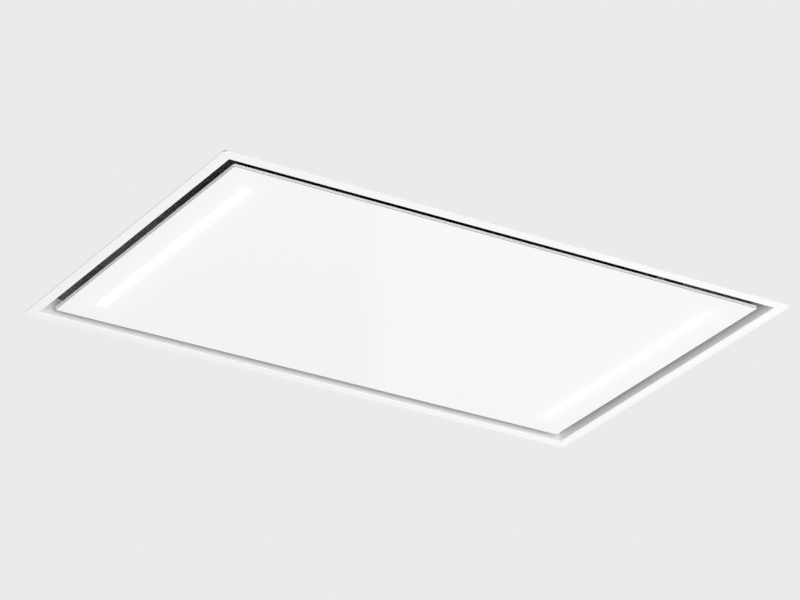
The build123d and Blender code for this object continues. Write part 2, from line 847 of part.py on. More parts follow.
for name, side in SIDES:
    x = side * filter_x

    with BuildPart() as filter_frame:
        with BuildSketch(level(filter_z)):
            with Locations((x, 0)):
                Rectangle(filter_length, filter_depth)
                Rectangle(filter_window_length, filter_window_depth, mode=Mode.SUBTRACT)
        extrude(amount=filter_thickness)
        with BuildSketch(level(filter_middle_z - mesh_thickness / 2)):
            with Locations((x, 0)):
                Rectangle(mesh_length + 2 * mesh_play, mesh_width + 2 * mesh_play)
        extrude(amount=mesh_thickness, mode=Mode.SUBTRACT)
    filter_frame.part.label = f"filter_frame_{name}"
    export_step(filter_frame.part, f"parts/filter_frame_{name}.step")

    with BuildPart() as filter_mesh:
        with BuildSketch(level(filter_middle_z - mesh_thickness / 2)):
            with Locations((x, 0)):
                Rectangle(mesh_length, mesh_width)
                with GridLocations(mesh_cell_length, mesh_cell_width, mesh_columns, mesh_rows):
                    Rectangle(mesh_cell_length - mesh_bar, mesh_cell_width - mesh_bar, mode=Mode.SUBTRACT)
        extrude(amount=mesh_thickness)
    filter_mesh.part.label = f"filter_mesh_{name}"
    export_step(filter_mesh.part, f"parts/filter_mesh_{name}.step")

    handle_outer_y = -filter_depth / 2
    handle_line = (
        (handle_outer_y + handle_foot, filter_z),
        (handle_outer_y, filter_z),
        (handle_outer_y, filter_z - handle_drop),
    )
    with BuildPart() as filter_handle:
        middle = Plane(origin=(x, 0, 0), x_dir=(0, 1, 0), z_dir=(1, 0, 0))
        handle_radii = (bend_radius + handle_sheet,)
        add_bent_sheet(middle, handle_line, handle_radii, handle_sheet, Side.LEFT, handle_length)
        tab_plane = Plane(origin=(x, handle_outer_y, filter_z), x_dir=(1, 0, 0), z_dir=(0, -1, 0))
        with BuildSketch(tab_plane):
            with Locations((0, -handle_drop + handle_slot_height)):
                SlotOverall(handle_slot_length, handle_slot_height)
        extrude(amount=-2 * handle_sheet, mode=Mode.SUBTRACT)
    filter_handle.part.label = f"filter_handle_{name}"
    export_step(filter_handle.part, f"parts/filter_handle_{name}.step")

ledge_length = filter_length - 2 * ledge_end_margin
ledge_lip_z = filter_z - ledge_drop - ledge_sheet
ledge_outer_y = ledge_y + ledge_sheet
ledge_line = (
    (ledge_outer_y - ledge_reach, ledge_lip_z),
    (ledge_outer_y, ledge_lip_z),
    (ledge_outer_y, deck_height - ledge_sheet),
    (ledge_outer_y + ledge_flange, deck_height - ledge_sheet),
)
ledge_radii = (bend_radius + ledge_sheet, bend_radius)
with BuildPart() as filter_ledges:
    for _, side in SIDES:
        middle = Plane(origin=(side * filter_x, 0, 0), x_dir=(0, 1, 0), z_dir=(1, 0, 0))
        add_bent_sheet(middle, ledge_line, ledge_radii, ledge_sheet, Side.LEFT, ledge_length)
filter_ledges.part.label = "filter_ledges"
export_step(filter_ledges.part, "parts/filter_ledges.step")

filter_magnet_y = -filter_depth / 2 + filter_magnet_inset
with BuildPart() as filter_magnets:
    with BuildSketch(level(deck_top_z)):
        for _, side in SIDES:
            for end in (-1, 1):
                with Locations((side * filter_x + end * filter_magnet_spacing / 2, filter_magnet_y)):
                    Circle(filter_magnet_radius)
    extrude(amount=filter_magnet_height)
filter_magnets.part.label = "filter_magnets"
export_step(filter_magnets.part, "parts/filter_magnets.step")

# ---------------------------------------------------------------- inlet ring and scroll

bell_centre_radius = inlet_throat_radius + bell_radius
bell_z = roof_z - inlet_sheet
throat_top_z = bell_z + bell_radius
with BuildPart() as inlet_ring:
    with BuildSketch(Plane.XZ):
        with BuildLine():
            CenterArc((bell_centre_radius, throat_top_z), bell_radius, 180, 90)
            CenterArc((bell_centre_radius, throat_top_z), bell_radius - inlet_sheet, 180, 90)
            Line((inlet_throat_radius, throat_top_z), (inlet_throat_radius + inlet_sheet, throat_top_z))
            Polyline(
                (bell_centre_radius, bell_z),
                (bell_centre_radius + inlet_flange, bell_z),
                (bell_centre_radius + inlet_flange, roof_z),
                (bell_centre_radius, roof_z),
            )
        make_face()
    revolve(axis=Axis.Z)
inlet_ring.part.label = "inlet_ring"
export_step(inlet_ring.part, "parts/inlet_ring.step")


def scroll_outline():
    """The scroll's inside seen from above: four quarter arcs that widen, then a straight outlet to -X."""
    first = (-half_growth, -half_growth)
    second = (half_growth, -half_growth)
    third = (half_growth, half_growth)
    last = (-half_growth, half_growth)
    arcs = [
        CenterArc(first, scroll_first_radius, scroll_tongue_angle, 180 - scroll_tongue_angle),
        CenterArc(second, scroll_second_radius, 180, 90),
        CenterArc(third, scroll_third_radius, 270, 90),
        CenterArc(last, scroll_last_radius, 0, 90),
    ]
    top = Line(arcs[-1] @ 1, (-scroll_outlet_reach, scroll_far))
    end = Line(top @ 1, (-scroll_outlet_reach, scroll_outlet_lower))
    tongue = Line(end @ 1, arcs[0] @ 0)
    return [*arcs, top, end, tongue]


with BuildSketch() as scroll_inside:
    with BuildLine():
        scroll_outline()
    make_face()
with BuildSketch() as scroll_outside:
    add(scroll_inside.sketch)
    offset(amount=scroll_wall, kind=Kind.INTERSECTION, mode=Mode.REPLACE)
with BuildSketch() as scroll_brim:
    add(scroll_outside.sketch)
    offset(amount=scroll_lip, kind=Kind.INTERSECTION, mode=Mode.REPLACE)

outlet_block = (3 * scroll_wall, outlet_width, outlet_height)


def open_outlet():
    """Cut the end of the outlet open."""
    with Locations((-scroll_outlet_reach, outlet_y, outlet_z)):
        Box(*outlet_block, mode=Mode.SUBTRACT)


with BuildPart() as scroll_lower:
    with BuildSketch(level(housing_top_z)):
        add(scroll_outside.sketch)
        Circle(scroll_eye_radius, mode=Mode.SUBTRACT)
    extrude(amount=scroll_wall)
    with BuildSketch(level(housing_top_z)):
        add(scroll_outside.sketch)
        add(scroll_inside.sketch, mode=Mode.SUBTRACT)
    extrude(amount=scroll_split_z - housing_top_z)
    with BuildSketch(level(scroll_split_z - scroll_wall)):
        add(scroll_brim.sketch)
        add(scroll_inside.sketch, mode=Mode.SUBTRACT)
    extrude(amount=scroll_wall)
    open_outlet()
    split(bisect_by=Plane.YZ.offset(outlet_x), keep=Keep.TOP)
scroll_lower.part.label = "scroll_lower"
export_step(scroll_lower.part, "parts/scroll_lower.step")

with BuildPart() as scroll_upper:
    with BuildSketch(level(scroll_top_z - scroll_wall)):
        add(scroll_outside.sketch)
        Circle(motor_radius + motor_opening_gap, mode=Mode.SUBTRACT)
    extrude(amount=scroll_wall)
    with BuildSketch(level(scroll_split_z)):
        add(scroll_outside.sketch)
        add(scroll_inside.sketch, mode=Mode.SUBTRACT)
    extrude(amount=scroll_top_z - scroll_split_z)
    with BuildSketch(level(scroll_split_z)):
        add(scroll_brim.sketch)
        add(scroll_inside.sketch, mode=Mode.SUBTRACT)
    extrude(amount=scroll_wall)
    open_outlet()
    split(bisect_by=Plane.YZ.offset(outlet_x), keep=Keep.TOP)
scroll_upper.part.label = "scroll_upper"
export_step(scroll_upper.part, "parts/scroll_upper.step")

# ---------------------------------------------------------------- fan wheel and its shaft

# The blades lean and curve forwards, the way that the wheel turns
blade_inner_radius = wheel_eye_radius + blade_thickness
blade_outer_radius = wheel_radius - blade_thickness
blade_middle_radius = (blade_inner_radius + blade_outer_radius) / 2
blade_half_sweep = radians(blade_sweep / 2)
blade_arc = ThreePointArc(
    (blade_inner_radius * cos(blade_half_sweep), -blade_inner_radius * sin(blade_half_sweep)),
    (blade_middle_radius, -blade_bow),
    (blade_outer_radius * cos(blade_half_sweep), blade_outer_radius * sin(blade_half_sweep)),
)
blade_z = wheel_z + wheel_ring_height

with BuildPart() as impeller_ring:
    with BuildSketch(level(wheel_z)):
        Circle(wheel_radius)
        Circle(wheel_eye_radius, mode=Mode.SUBTRACT)
    extrude(amount=wheel_ring_height)
impeller_ring.part.label = "impeller_ring"
export_step(impeller_ring.part, "parts/impeller_ring.step")

with BuildPart() as impeller_blades:
    with BuildSketch(level(blade_z)):
        with PolarLocations(0, blade_count):
            SlotArc(blade_arc, blade_thickness)
    extrude(amount=wheel_plate_z - blade_z)
impeller_blades.part.label = "impeller_blades"
export_step(impeller_blades.part, "parts/impeller_blades.step")

with BuildPart() as impeller_plate:
    with BuildSketch(level(wheel_plate_z)):
        Circle(wheel_radius)
    extrude(amount=wheel_plate)
    with BuildSketch(level(hub_z)):
        Circle(hub_radius)
    extrude(amount=hub_height)
    with Locations((0, 0, hub_z)):
        Cylinder(shaft_radius + shaft_play, hub_height, align=STAND, mode=Mode.SUBTRACT)
impeller_plate.part.label = "impeller_plate"
export_step(impeller_plate.part, "parts/impeller_plate.step")

with BuildPart() as motor_shaft:
    with BuildSketch(level(shaft_z)):
        Circle(shaft_radius)
    extrude(amount=shaft_top_z - shaft_z)
motor_shaft.part.label = "motor_shaft"
export_step(motor_shaft.part, "parts/motor_shaft.step")

with BuildPart() as impeller_nut:
    with BuildSketch(level(wheel_nut_z)):
        RegularPolygon(wheel_nut_across_flats / 2, 6, major_radius=False)
        Circle(shaft_radius + shaft_play, mode=Mode.SUBTRACT)
    extrude(amount=wheel_nut_height)
impeller_nut.part.label = "impeller_nut"
export_step(impeller_nut.part, "parts/impeller_nut.step")

with BuildPart() as motor_rotor:
    with BuildSketch(level(rotor_z)):
        Circle(rotor_radius)
        Circle(shaft_radius + shaft_play, mode=Mode.SUBTRACT)
    extrude(amount=rotor_height)
motor_rotor.part.label = "motor_rotor"
export_step(motor_rotor.part, "parts/motor_rotor.step")

# ---------------------------------------------------------------- motor

bearing_seat_radius = bearing_radius + bearing_seat_wall
with BuildPart() as motor_can:
    with Locations((0, 0, motor_z)):
        Cylinder(motor_radius, motor_height - motor_wall, align=STAND)
    with Locations((0, 0, low_bearing_z)):
        Cylinder(stator_radius, motor_height, align=STAND, mode=Mode.SUBTRACT)
    with BuildSketch(level(low_bearing_z)):
        Circle(bearing_seat_radius)
        Circle(bearing_radius, mode=Mode.SUBTRACT)
    extrude(amount=bearing_height)
    with BuildSketch(level(motor_flange_z)):
        Circle(motor_flange_radius)
        Circle(stator_radius, mode=Mode.SUBTRACT)
    extrude(amount=motor_wall)
    drill([seat(0, 0, motor_z)], shaft_hole_radius, 2 * motor_wall)
motor_can.part.label = "motor_can"
export_step(motor_can.part, "parts/motor_can.step")

with BuildPart() as motor_cap:
    with Locations((0, 0, motor_top_z)):
        Cylinder(motor_radius, motor_wall, align=HANG)
    with BuildSketch(level(high_bearing_z)):
        Circle(bearing_seat_radius)
        Circle(bearing_radius, mode=Mode.SUBTRACT)
    extrude(amount=bearing_height)
    with Locations((0, 0, motor_top_z)):
        with PolarLocations(motor_vent_circle, motor_vent_count):
            Cylinder(motor_vent_radius, 4 * motor_wall, mode=Mode.SUBTRACT)
    drill([seat(0, 0, motor_top_z)], shaft_hole_radius, 2 * motor_wall)
motor_cap.part.label = "motor_cap"
export_step(motor_cap.part, "parts/motor_cap.step")

with BuildPart() as motor_bearings:
    for z in (low_bearing_z, high_bearing_z):
        with BuildSketch(level(z)):
            Circle(bearing_radius)
            Circle(shaft_radius + bearing_clearance, mode=Mode.SUBTRACT)
        extrude(amount=bearing_height)
motor_bearings.part.label = "motor_bearings"
export_step(motor_bearings.part, "parts/motor_bearings.step")

stator_bore_radius = rotor_radius + rotor_gap
stator_tooth = stator_radius - stator_bore_radius - stator_back
with BuildPart() as motor_stator:
    with BuildSketch(level(rotor_z)):
        Circle(stator_radius)
        Circle(stator_bore_radius, mode=Mode.SUBTRACT)
        with PolarLocations(rotor_radius + stator_tooth / 2, stator_slots):
            Rectangle(stator_tooth, stator_slot_width, mode=Mode.SUBTRACT)
    extrude(amount=rotor_height)
motor_stator.part.label = "motor_stator"
export_step(motor_stator.part, "parts/motor_stator.step")

with BuildPart() as motor_plate:
    with BuildSketch(level(motor_plate_z)):
        Circle(motor_plate_radius)
        Circle(motor_radius + motor_plate_gap, mode=Mode.SUBTRACT)
    extrude(amount=motor_plate_sheet)
motor_plate.part.label = "motor_plate"
export_step(motor_plate.part, "parts/motor_plate.step")

with BuildPart() as rubber_mounts:
    with BuildSketch(level(scroll_top_z)):
        with PolarLocations(rubber_circle, rubber_count, start_angle=45):
            Circle(rubber_radius)
    extrude(amount=rubber_height)
rubber_mounts.part.label = "rubber_mounts"
export_step(rubber_mounts.part, "parts/rubber_mounts.step")

# ---------------------------------------------------------------- motor box and its cover

with BuildPart() as motor_box:
    with BuildSketch(level(housing_top_z)):
        with Locations((box_x, box_y)):
            RectangleRounded(box_length, box_width, box_fold)
            Rectangle(box_length - 2 * box_sheet, box_width - 2 * box_sheet, mode=Mode.SUBTRACT)
    extrude(amount=box_height)
    with BuildSketch(level(housing_top_z)):
        with Locations((box_x, box_y)):
            Rectangle(box_length + 2 * box_flange, box_width + 2 * box_flange)
            Rectangle(box_length - 2 * box_sheet, box_width - 2 * box_sheet, mode=Mode.SUBTRACT)
    extrude(amount=box_sheet)
    with BuildSketch(level(box_top_z - box_sheet)):
        with Locations((box_x, box_y)):
            RectangleRounded(box_length, box_width, box_fold)
            Rectangle(box_length - 2 * box_flange, box_width - 2 * box_flange, mode=Mode.SUBTRACT)
    extrude(amount=box_sheet)
    drill([seat(box_left, spigot_y, spigot_z, (-1, 0, 0))], spigot_bore_radius, 2 * box_sheet)
    drill([seat(box_right, 0, gland_z, (1, 0, 0))], lead_hole_radius, 2 * box_sheet)
    drill(spigot_seats, screw_hole_radius, spigot_flange_thickness + 2 * box_sheet)
    drill(box_flange_seats, screw_hole_radius, 2 * box_sheet)
    drill(cover_seats, screw_hole_radius, 3 * box_sheet)
motor_box.part.label = "motor_box"
export_step(motor_box.part, "parts/motor_box.step")

cover_length = box_length + 2 * (cover_play + box_sheet)
cover_width = box_width + 2 * (cover_play + box_sheet)
with BuildPart() as motor_box_cover:
    with BuildSketch(level(box_top_z - cover_edge)):
        with Locations((box_x, box_y)):
            RectangleRounded(cover_length, cover_width, box_fold)
    extrude(amount=cover_edge + box_sheet)
    fillet(motor_box_cover.faces().sort_by(Axis.Z)[-1].edges(), box_fold)
    with BuildSketch(level(box_top_z - cover_edge)):
        with Locations((box_x, box_y)):
            Rectangle(cover_length - 2 * box_sheet, cover_width - 2 * box_sheet)
    extrude(amount=cover_edge, mode=Mode.SUBTRACT)
    drill(cover_seats, screw_hole_radius, 2 * box_sheet)
motor_box_cover.part.label = "motor_box_cover"
export_step(motor_box_cover.part, "parts/motor_box_cover.step")

# ---------------------------------------------------------------- outlet

duct_start = Plane(origin=(outlet_x, outlet_y, outlet_z), x_dir=(0, 1, 0), z_dir=(1, 0, 0))
duct_end = Plane(origin=(box_left + box_sheet, spigot_y, spigot_z), x_dir=(0, 1, 0), z_dir=(1, 0, 0))
with BuildPart() as outlet_duct:
    with BuildSketch(duct_start):
        RectangleRounded(outlet_width + 2 * scroll_wall, outlet_height + 2 * scroll_wall, duct_corner_radius)
    with BuildSketch(duct_end):
        Circle(spigot_bore_radius + scroll_wall)
    loft()
    with BuildSketch(duct_start):
        RectangleRounded(outlet_width, outlet_height, duct_corner_radius - scroll_wall)
    with BuildSketch(duct_end):
        Circle(spigot_bore_radius)
    loft(mode=Mode.SUBTRACT)
outlet_duct.part.label = "outlet_duct"
export_step(outlet_duct.part, "parts/outlet_duct.step")

axle_hole_radius = axle_radius + axle_hole_clearance
spigot_plane = Plane(origin=(box_left, spigot_y, spigot_z), x_dir=(0, 1, 0), z_dir=(-1, 0, 0))
with BuildPart() as outlet_spigot:
    with BuildSketch(spigot_plane):
        Circle(spigot_flange_radius)
        Circle(spigot_bore_radius, mode=Mode.SUBTRACT)
    extrude(amount=spigot_flange_thickness)
    with BuildSketch(spigot_plane):
        Circle(spigot_radius)
        Circle(spigot_bore_radius, mode=Mode.SUBTRACT)
    extrude(amount=spigot_flange_thickness + spigot_length)
    with Locations((axle_x, spigot_y, spigot_z)):
        Cylinder(axle_hole_radius, 2 * spigot_flange_radius, mode=Mode.SUBTRACT)
    drill(spigot_seats, screw_hole_radius, 2 * spigot_flange_thickness)
outlet_spigot.part.label = "outlet_spigot"
export_step(outlet_spigot.part, "parts/outlet_spigot.step")

with BuildPart() as damper_axle:
    with Locations((axle_x, spigot_y, spigot_z)):
        Cylinder(axle_radius, 2 * spigot_radius - spigot_wall)
damper_axle.part.label = "damper_axle"
export_step(damper_axle.part, "parts/damper_axle.step")

sleeve_pitch = sleeve_span / sleeve_count
sleeve_length = sleeve_pitch - sleeve_gap
flap_root = sleeve_radius + sleeve_gap
for index, (name, side) in enumerate(SIDES):
    own = [i for i in range(sleeve_count) if i % 2 == index]
    heights = [(i - (sleeve_count - 1) / 2) * sleeve_pitch for i in own]
    flap_plane = Plane(
        origin=(axle_x + flap_thickness / 2, spigot_y, spigot_z), x_dir=(0, side, 0), z_dir=(-1, 0, 0)
    )
    with BuildPart() as damper_flap:
        with BuildSketch(flap_plane):
            Circle(flap_radius)
            with Locations((flap_root, 0)):
                Rectangle(2 * flap_radius, 2 * flap_radius, align=FROM_LEFT, mode=Mode.INTERSECT)
            with Locations(*[(0, -side * height) for height in heights]):
                Rectangle(2 * flap_root, sleeve_length, align=FROM_LEFT)
        extrude(amount=flap_thickness)
        with Locations(*[(axle_x, spigot_y, spigot_z + height) for height in heights]):
            Cylinder(sleeve_radius, sleeve_length)
        with Locations((axle_x, spigot_y, spigot_z)):
            Cylinder(sleeve_bore_radius, 2 * spigot_radius, mode=Mode.SUBTRACT)
    damper_flap.part.label = f"damper_flap_{name}"
    export_step(damper_flap.part, f"parts/damper_flap_{name}.step")

# ---------------------------------------------------------------- control box

gland_x = control_x + control_length / 2
gland_seat = seat(gland_x, board_y, gland_z, (1, 0, 0))
control_lead_seat = seat(control_x - control_length / 2, 0, gland_z, (-1, 0, 0))
with BuildPart() as control_box:
    with BuildSketch(level(housing_top_z)):
        with Locations((control_x, 0)):
            RectangleRounded(control_length, control_width, control_fold)
    extrude(amount=control_height)
    with BuildSketch(level(control_floor_z)):
        with Locations((control_x, 0)):
            Rectangle(control_length - 2 * control_sheet, control_width - 2 * control_sheet)
    extrude(amount=control_height, mode=Mode.SUBTRACT)
    with BuildSketch(level(control_floor_z)):
        with Locations((control_x, board_y)):
            with GridLocations(board_length - 2 * board_corner, board_width - 2 * board_corner, 2, 2):
                Circle(standoff_radius)
    extrude(amount=board_rise)
    for end in (-1, 1):
        with Locations((control_x, end * control_post_y, control_top_z)):
            Box(control_post, control_post, control_height - control_sheet, align=HANG)
    drill([gland_seat], gland_body_radius, 2 * control_sheet)
    drill([control_lead_seat], lead_hole_radius, 2 * control_sheet)
    drill(control_top_seats, screw_hole_radius, 2 * screw_length)
    drill(control_floor_seats, screw_hole_radius, 2 * control_sheet)
control_box.part.label = "control_box"
export_step(control_box.part, "parts/control_box.step")

control_cover_length = control_length + 2 * (cover_play + control_sheet)
control_cover_width = control_width + 2 * (cover_play + control_sheet)
with BuildPart() as control_cover:
    with BuildSketch(level(control_top_z - control_cover_edge)):
        with Locations((control_x, 0)):
            RectangleRounded(control_cover_length, control_cover_width, control_fold)
    extrude(amount=control_cover_edge + control_sheet)
    fillet(control_cover.faces().sort_by(Axis.Z)[-1].edges(), control_fold)
    with BuildSketch(level(control_top_z - control_cover_edge)):
        with Locations((control_x, 0)):
            Rectangle(control_length + 2 * cover_play, control_width + 2 * cover_play)
    extrude(amount=control_cover_edge, mode=Mode.SUBTRACT)
    drill(control_top_seats, screw_hole_radius, 2 * control_sheet)
control_cover.part.label = "control_cover"
export_step(control_cover.part, "parts/control_cover.step")

board_top_z = board_z + board_thickness
board_left = control_x - board_length / 2 + part_edge
board_right = control_x + board_length / 2 - part_edge
board_near = board_y - board_width / 2 + part_edge
board_far = board_y + board_width / 2 - part_edge
relay_x = board_right - relay_length / 2
relay_pitch = relay_width + relay_gap
with BuildPart() as circuit_board:
    with Locations((control_x, board_y, board_z)):
        Box(board_length, board_width, board_thickness, align=STAND)
    with Locations((board_left + transformer_length / 2, board_near + transformer_width / 2, board_top_z)):
        Box(transformer_length, transformer_width, transformer_height, align=STAND)
    for step in range(relay_count):
        with Locations((relay_x, board_near + relay_width / 2 + step * relay_pitch, board_top_z)):
            Box(relay_length, relay_width, relay_height, align=STAND)
    with Locations(seat(board_left, board_far - capacitor_radius, board_top_z + capacitor_radius, (1, 0, 0))):
        Cylinder(capacitor_radius, capacitor_length, align=STAND)
    with Locations((board_left + capacitor_length / 2, board_far - capacitor_radius, board_top_z)):
        Box(capacitor_length, capacitor_radius, capacitor_radius, align=STAND)
circuit_board.part.label = "circuit_board"
export_step(circuit_board.part, "parts/circuit_board.step")

terminal_pitch = terminal_length / terminal_ways
with BuildPart() as terminal_block:
    with Locations((board_right - terminal_width / 2, board_far - terminal_length / 2, board_top_z)):
        Box(terminal_width, terminal_length, terminal_height, align=STAND)
        with Locations((0, 0, terminal_height)):
            with GridLocations(1, terminal_pitch, 1, terminal_ways):
                Cylinder(terminal_screw_radius, terminal_height, mode=Mode.SUBTRACT)
terminal_block.part.label = "terminal_block"
export_step(terminal_block.part, "parts/terminal_block.step")

with BuildPart() as light_driver:
    with Locations((control_x, driver_y, control_floor_z)):
        Box(driver_length, driver_width, driver_height, align=STAND)
    top_edges = light_driver.faces().sort_by(Axis.Z)[-1].edges()
    fillet(top_edges, 2 * control_sheet)
light_driver.part.label = "light_driver"
export_step(light_driver.part, "parts/light_driver.step")

gland_inner_x = gland_x - 2 * control_sheet
gland_length = 2 * control_sheet + gland_nut_height + gland_reach
bush_start_x = box_right - 2 * box_sheet
bush_end_x = control_x - control_length / 2 + 2 * control_sheet
bush_places = (box_right, control_x - control_length / 2 - bush_collar)
with BuildPart() as cable_fittings:
    with Locations(gland_seat):
        Cylinder(gland_nut_radius, gland_nut_height, align=STAND)
    with Locations(seat(gland_inner_x, board_y, gland_z, (1, 0, 0))):
        Cylinder(gland_body_radius - screw_clearance, gland_length, align=STAND)
    with Locations(seat(bush_start_x, 0, gland_z, (1, 0, 0))):
        Cylinder(lead_hole_radius - screw_clearance, bush_end_x - bush_start_x, align=STAND)
    for x in bush_places:
        with Locations(seat(x, 0, gland_z, (1, 0, 0))):
            Cylinder(lead_hole_radius + bush_collar, bush_collar, align=STAND)
    with Locations(gland_seat):
        Cylinder(gland_bore_radius, 2 * gland_length, mode=Mode.SUBTRACT)
    with Locations(seat(bush_start_x, 0, gland_z, (1, 0, 0))):
        Cylinder(lead_hole_radius - bush_wall, bush_end_x - bush_start_x, align=STAND, mode=Mode.SUBTRACT)
cable_fittings.part.label = "cable_fittings"
export_step(cable_fittings.part, "parts/cable_fittings.step")

# ---------------------------------------------------------------- suspension brackets

bracket_top_z = housing_top_z + bracket_rise
bracket_line = (
    (bracket_x - bracket_foot, housing_top_z),
    (bracket_x, housing_top_z),
    (bracket_x, bracket_top_z - bracket_sheet),
    (bracket_x - bracket_sheet + bracket_tab, bracket_top_z - bracket_sheet),
)
bracket_radii = (bend_radius + bracket_sheet, bend_radius)
with BuildPart() as suspension_brackets:
    for _, side in SIDES:
        for end in (-1, 1):
            middle = Plane(origin=(0, end * bracket_y, 0), x_dir=(side, 0, 0), z_dir=(0, -side, 0))
            add_bent_sheet(middle, bracket_line, bracket_radii, bracket_sheet, Side.LEFT, bracket_width)
            with BuildSketch(level(bracket_top_z - bracket_sheet)):
                with Locations((side * (bracket_x + bracket_tab / 2), end * bracket_y)):
                    SlotOverall(rod_slot_length, rod_slot_width)
            extrude(amount=bracket_sheet, mode=Mode.SUBTRACT)
    drill(bracket_seats, screw_hole_radius, 2 * bracket_sheet)
suspension_brackets.part.label = "suspension_brackets"
export_step(suspension_brackets.part, "parts/suspension_brackets.step")

# ---------------------------------------------------------------- screws

with BuildPart() as trim_screws:
    add_screws(trim_seats)
trim_screws.part.label = "trim_screws"
export_step(trim_screws.part, "parts/trim_screws.step")

with BuildPart() as deck_screws:
    add_screws(wall_seats)
    add_screws(hinge_seats)
    add_screws(catch_seats)
deck_screws.part.label = "deck_screws"
export_step(deck_screws.part, "parts/deck_screws.step")

with BuildPart() as top_screws:
    add_screws(box_flange_seats)
    add_screws(cover_seats)
    add_screws(bracket_seats)
    add_screws(control_top_seats)
    add_screws(control_floor_seats)
    add_screws(spigot_seats)
top_screws.part.label = "top_screws"
export_step(top_screws.part, "parts/top_screws.step")
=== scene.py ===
import math

import bmesh
import bpy
from mathutils import Matrix, Vector


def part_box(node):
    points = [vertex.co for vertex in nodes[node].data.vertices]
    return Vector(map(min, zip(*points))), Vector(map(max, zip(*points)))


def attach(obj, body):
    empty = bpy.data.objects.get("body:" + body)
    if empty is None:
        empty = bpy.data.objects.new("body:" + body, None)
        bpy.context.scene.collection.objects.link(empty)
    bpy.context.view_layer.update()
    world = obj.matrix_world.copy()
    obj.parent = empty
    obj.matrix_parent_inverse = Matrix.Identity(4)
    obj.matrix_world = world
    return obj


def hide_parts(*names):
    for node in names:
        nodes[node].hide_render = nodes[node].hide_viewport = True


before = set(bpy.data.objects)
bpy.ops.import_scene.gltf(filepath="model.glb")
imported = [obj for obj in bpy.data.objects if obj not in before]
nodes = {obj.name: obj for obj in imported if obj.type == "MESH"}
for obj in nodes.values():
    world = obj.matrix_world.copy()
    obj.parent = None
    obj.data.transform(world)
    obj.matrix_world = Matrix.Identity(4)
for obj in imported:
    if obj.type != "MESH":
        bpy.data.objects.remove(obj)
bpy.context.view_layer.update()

MM = 0.001
FULL_TURN = 2 * math.pi
SHARP_CORNER = math.radians(35)
WELD_GAP = 0.002 * MM
SEAM_GAP = 0.005 * MM
BOARD_THICKNESS = 1.6 * MM
SIDE_COAT = 0.2
PLAIN_WHITE = (1.0, 1.0, 1.0, 1.0)


def into_scene(name, data):
    """A new object in the scene."""
    holder = bpy.data.objects.new(name, data)
    bpy.context.scene.collection.objects.link(holder)
    return holder


# ---------------------------------------------------------------- node trees


class Value:
    """One socket of a node tree, so that sums on it can be written as sums."""

    def __init__(self, graph, socket):
        self.graph = graph
        self.socket = socket

    def out(self, key):
        """Another output of the same node."""
        return Value(self.graph, find_socket(self.socket.node.outputs, key))

    def __add__(self, other):
        return self.graph.sum("ADD", self, other)

    def __sub__(self, other):
        return self.graph.sum("SUBTRACT", self, other)

    def __rsub__(self, other):
        return self.graph.sum("SUBTRACT", other, self)

    def __mul__(self, other):
        return self.graph.sum("MULTIPLY", self, other)

    def __truediv__(self, other):
        return self.graph.sum("DIVIDE", self, other)

    def __pow__(self, other):
        return self.graph.sum("POWER", self, other)

    def __mod__(self, other):
        return self.graph.sum("FLOORED_MODULO", self, other)

    def __abs__(self):
        return self.graph.sum("ABSOLUTE", self)


def find_socket(sockets, key):
    """A socket by its number, its identifier or its name."""
    if isinstance(key, int):
        return sockets[key]
    for socket in sockets:
        if socket.identifier == key:
            return socket
    return sockets[key]


class Graph:
    """A node tree that grows by one call for each node."""

    def __init__(self, tree):
        self.tree = tree

    def node(self, kind, settings=None, values=None, output=0):
        """A node: its settings first, then its sockets' values or links. Gives one output."""
        node = self.tree.nodes.new(kind)
        for name, setting in (settings or {}).items():
            setattr(node, name, setting)
        for key, value in (values or {}).items():
            socket = find_socket(node.inputs, key)
            if isinstance(value, Value):
                self.tree.links.new(value.socket, socket)
            else:
                socket.default_value = value
        return Value(self, find_socket(node.outputs, output)) if len(node.outputs) else node

    def sum(self, operation, first, second=0.0):
        return self.node("ShaderNodeMath", {"operation": operation}, {0: first, 1: second})

    def greater(self, value, limit):
        return self.sum("GREATER_THAN", value, limit)

    def largest(self, first, second):
        return self.sum("MAXIMUM", first, second)

    def between(self, value, low, high):
        """0 below low, 1 above high, and a soft step from one to the other."""
        return self.node(
            "ShaderNodeMapRange",
            {"interpolation_type": "SMOOTHSTEP"},
            {"Value": value, "From Min": low, "From Max": high},
        )

    def apart(self, vector):
        """The X, Y and Z of a vector."""
        split = self.node("ShaderNodeSeparateXYZ", None, {0: vector})
        return split, split.out("Y"), split.out("Z")


